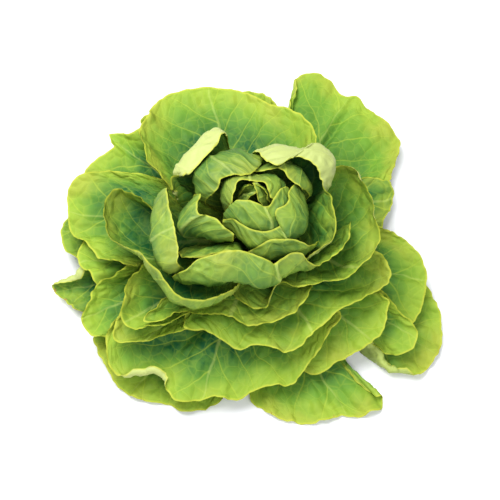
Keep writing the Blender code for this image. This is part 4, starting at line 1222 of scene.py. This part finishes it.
class LETTUCE_OT_cup_leaves(bpy.types.Operator):
    """Makes the cupped leaves round the heart"""

    bl_idname = "lettuce.cup_leaves"
    bl_label = "Cup leaves"

    def execute(self, context):
        make_leaves(context, "cup_leaf")
        return {"FINISHED"}


class LETTUCE_OT_heart_leaves(bpy.types.Operator):
    """Makes the small folded leaves of the heart"""

    bl_idname = "lettuce.heart_leaves"
    bl_label = "Heart leaves"

    def execute(self, context):
        make_leaves(context, "heart_leaf")
        return {"FINISHED"}


def soft_light(scene, name, place, size, power):
    """A round soft light that faces the head."""
    light = bpy.data.lights.new(name, "AREA")
    light.shape = "DISK"
    light.size = size
    light.energy = power
    item = bpy.data.objects.new(name, light)
    item.location = place
    item.rotation_euler = (Vector(AIM) - Vector(place)).to_track_quat("-Z", "Y").to_euler()
    scene.collection.objects.link(item)


class LETTUCE_OT_stage(bpy.types.Operator):
    """Makes the plain white floor, the soft lights and the camera"""

    bl_idname = "lettuce.stage"
    bl_label = "Stage"

    def execute(self, context):
        scene = context.scene
        stage = scene.lettuce_stage
        floor_mesh = bpy.data.meshes.new("floor")
        half = FLOOR_SIDE / 2
        corners = [(-half, -half, 0), (half, -half, 0), (half, half, 0), (-half, half, 0)]
        floor_mesh.from_pydata(corners, [], [(0, 1, 2, 3)])
        floor_mesh.materials.append(floor_finish(stage.floor))
        floor = bpy.data.objects.new("floor", floor_mesh)
        scene.collection.objects.link(floor)

        world = bpy.data.worlds.new("Soft studio")
        world.use_nodes = True
        sky = world.node_tree.nodes["Background"]
        sky.inputs["Color"].default_value = (*linear(SKY_COLOUR), 1)
        sky.inputs["Strength"].default_value = stage.sky_strength
        scene.world = world
        soft_light(scene, "Key", KEY_PLACE, KEY_SIZE, stage.key_power)
        soft_light(scene, "Front", FRONT_PLACE, FRONT_SIZE, stage.front_power)

        camera = bpy.data.objects.new("Camera", bpy.data.cameras.new("Camera"))
        elevation = math.radians(CAMERA_ELEVATION)
        forward = Vector((0, math.cos(elevation), -math.sin(elevation)))
        camera.location = Vector(AIM) - CAMERA_DISTANCE * forward
        camera.rotation_euler = forward.to_track_quat("-Z", "Y").to_euler()
        camera.data.sensor_width = SENSOR_WIDTH
        camera.data.lens = SENSOR_WIDTH * CAMERA_DISTANCE / (PHOTO_SIDE * PIXEL_SIZE)
        scene.collection.objects.link(camera)
        scene.camera = camera
        scene.view_settings.view_transform = "Standard"
        scene.view_settings.look = "Medium High Contrast"
        return {"FINISHED"}


class LETTUCE_PT_head(bpy.types.Panel):
    """Sizes, colours and steps of the butterhead lettuce"""

    bl_label = "Butterhead lettuce"
    bl_idname = "LETTUCE_PT_head"
    bl_space_type = "VIEW_3D"
    bl_region_type = "UI"
    bl_category = "Lettuce"

    def draw(self, context):
        for group in (context.scene.lettuce_sizes, context.scene.lettuce_colours,
                      context.scene.lettuce_stage):
            box = self.layout.box()
            for name in group.bl_rna.properties.keys():
                if name not in ("rna_type", "name"):
                    box.prop(group, name)
        for step in STEPS:
            self.layout.operator(step.bl_idname)


GROUPS = (LettuceSizes, LettuceColours, LettuceStage)
STEPS = (LETTUCE_OT_stem, LETTUCE_OT_outer_leaves, LETTUCE_OT_cup_leaves, LETTUCE_OT_heart_leaves,
         LETTUCE_OT_stage)


def register():
    for kind in (*GROUPS, *STEPS, LETTUCE_PT_head):
        bpy.utils.register_class(kind)
    bpy.types.Scene.lettuce_sizes = bpy.props.PointerProperty(type=LettuceSizes)
    bpy.types.Scene.lettuce_colours = bpy.props.PointerProperty(type=LettuceColours)
    bpy.types.Scene.lettuce_stage = bpy.props.PointerProperty(type=LettuceStage)


def unregister():
    del bpy.types.Scene.lettuce_stage
    del bpy.types.Scene.lettuce_colours
    del bpy.types.Scene.lettuce_sizes
    for kind in (LETTUCE_PT_head, *STEPS[::-1], *GROUPS[::-1]):
        bpy.utils.unregister_class(kind)


def main():
    """Makes the head and its stage step by step."""
    register()
    bpy.ops.lettuce.stem()
    bpy.ops.lettuce.outer_leaves()
    bpy.ops.lettuce.cup_leaves()
    bpy.ops.lettuce.heart_leaves()
    bpy.ops.lettuce.stage()


if __name__ == "__main__":
    main()
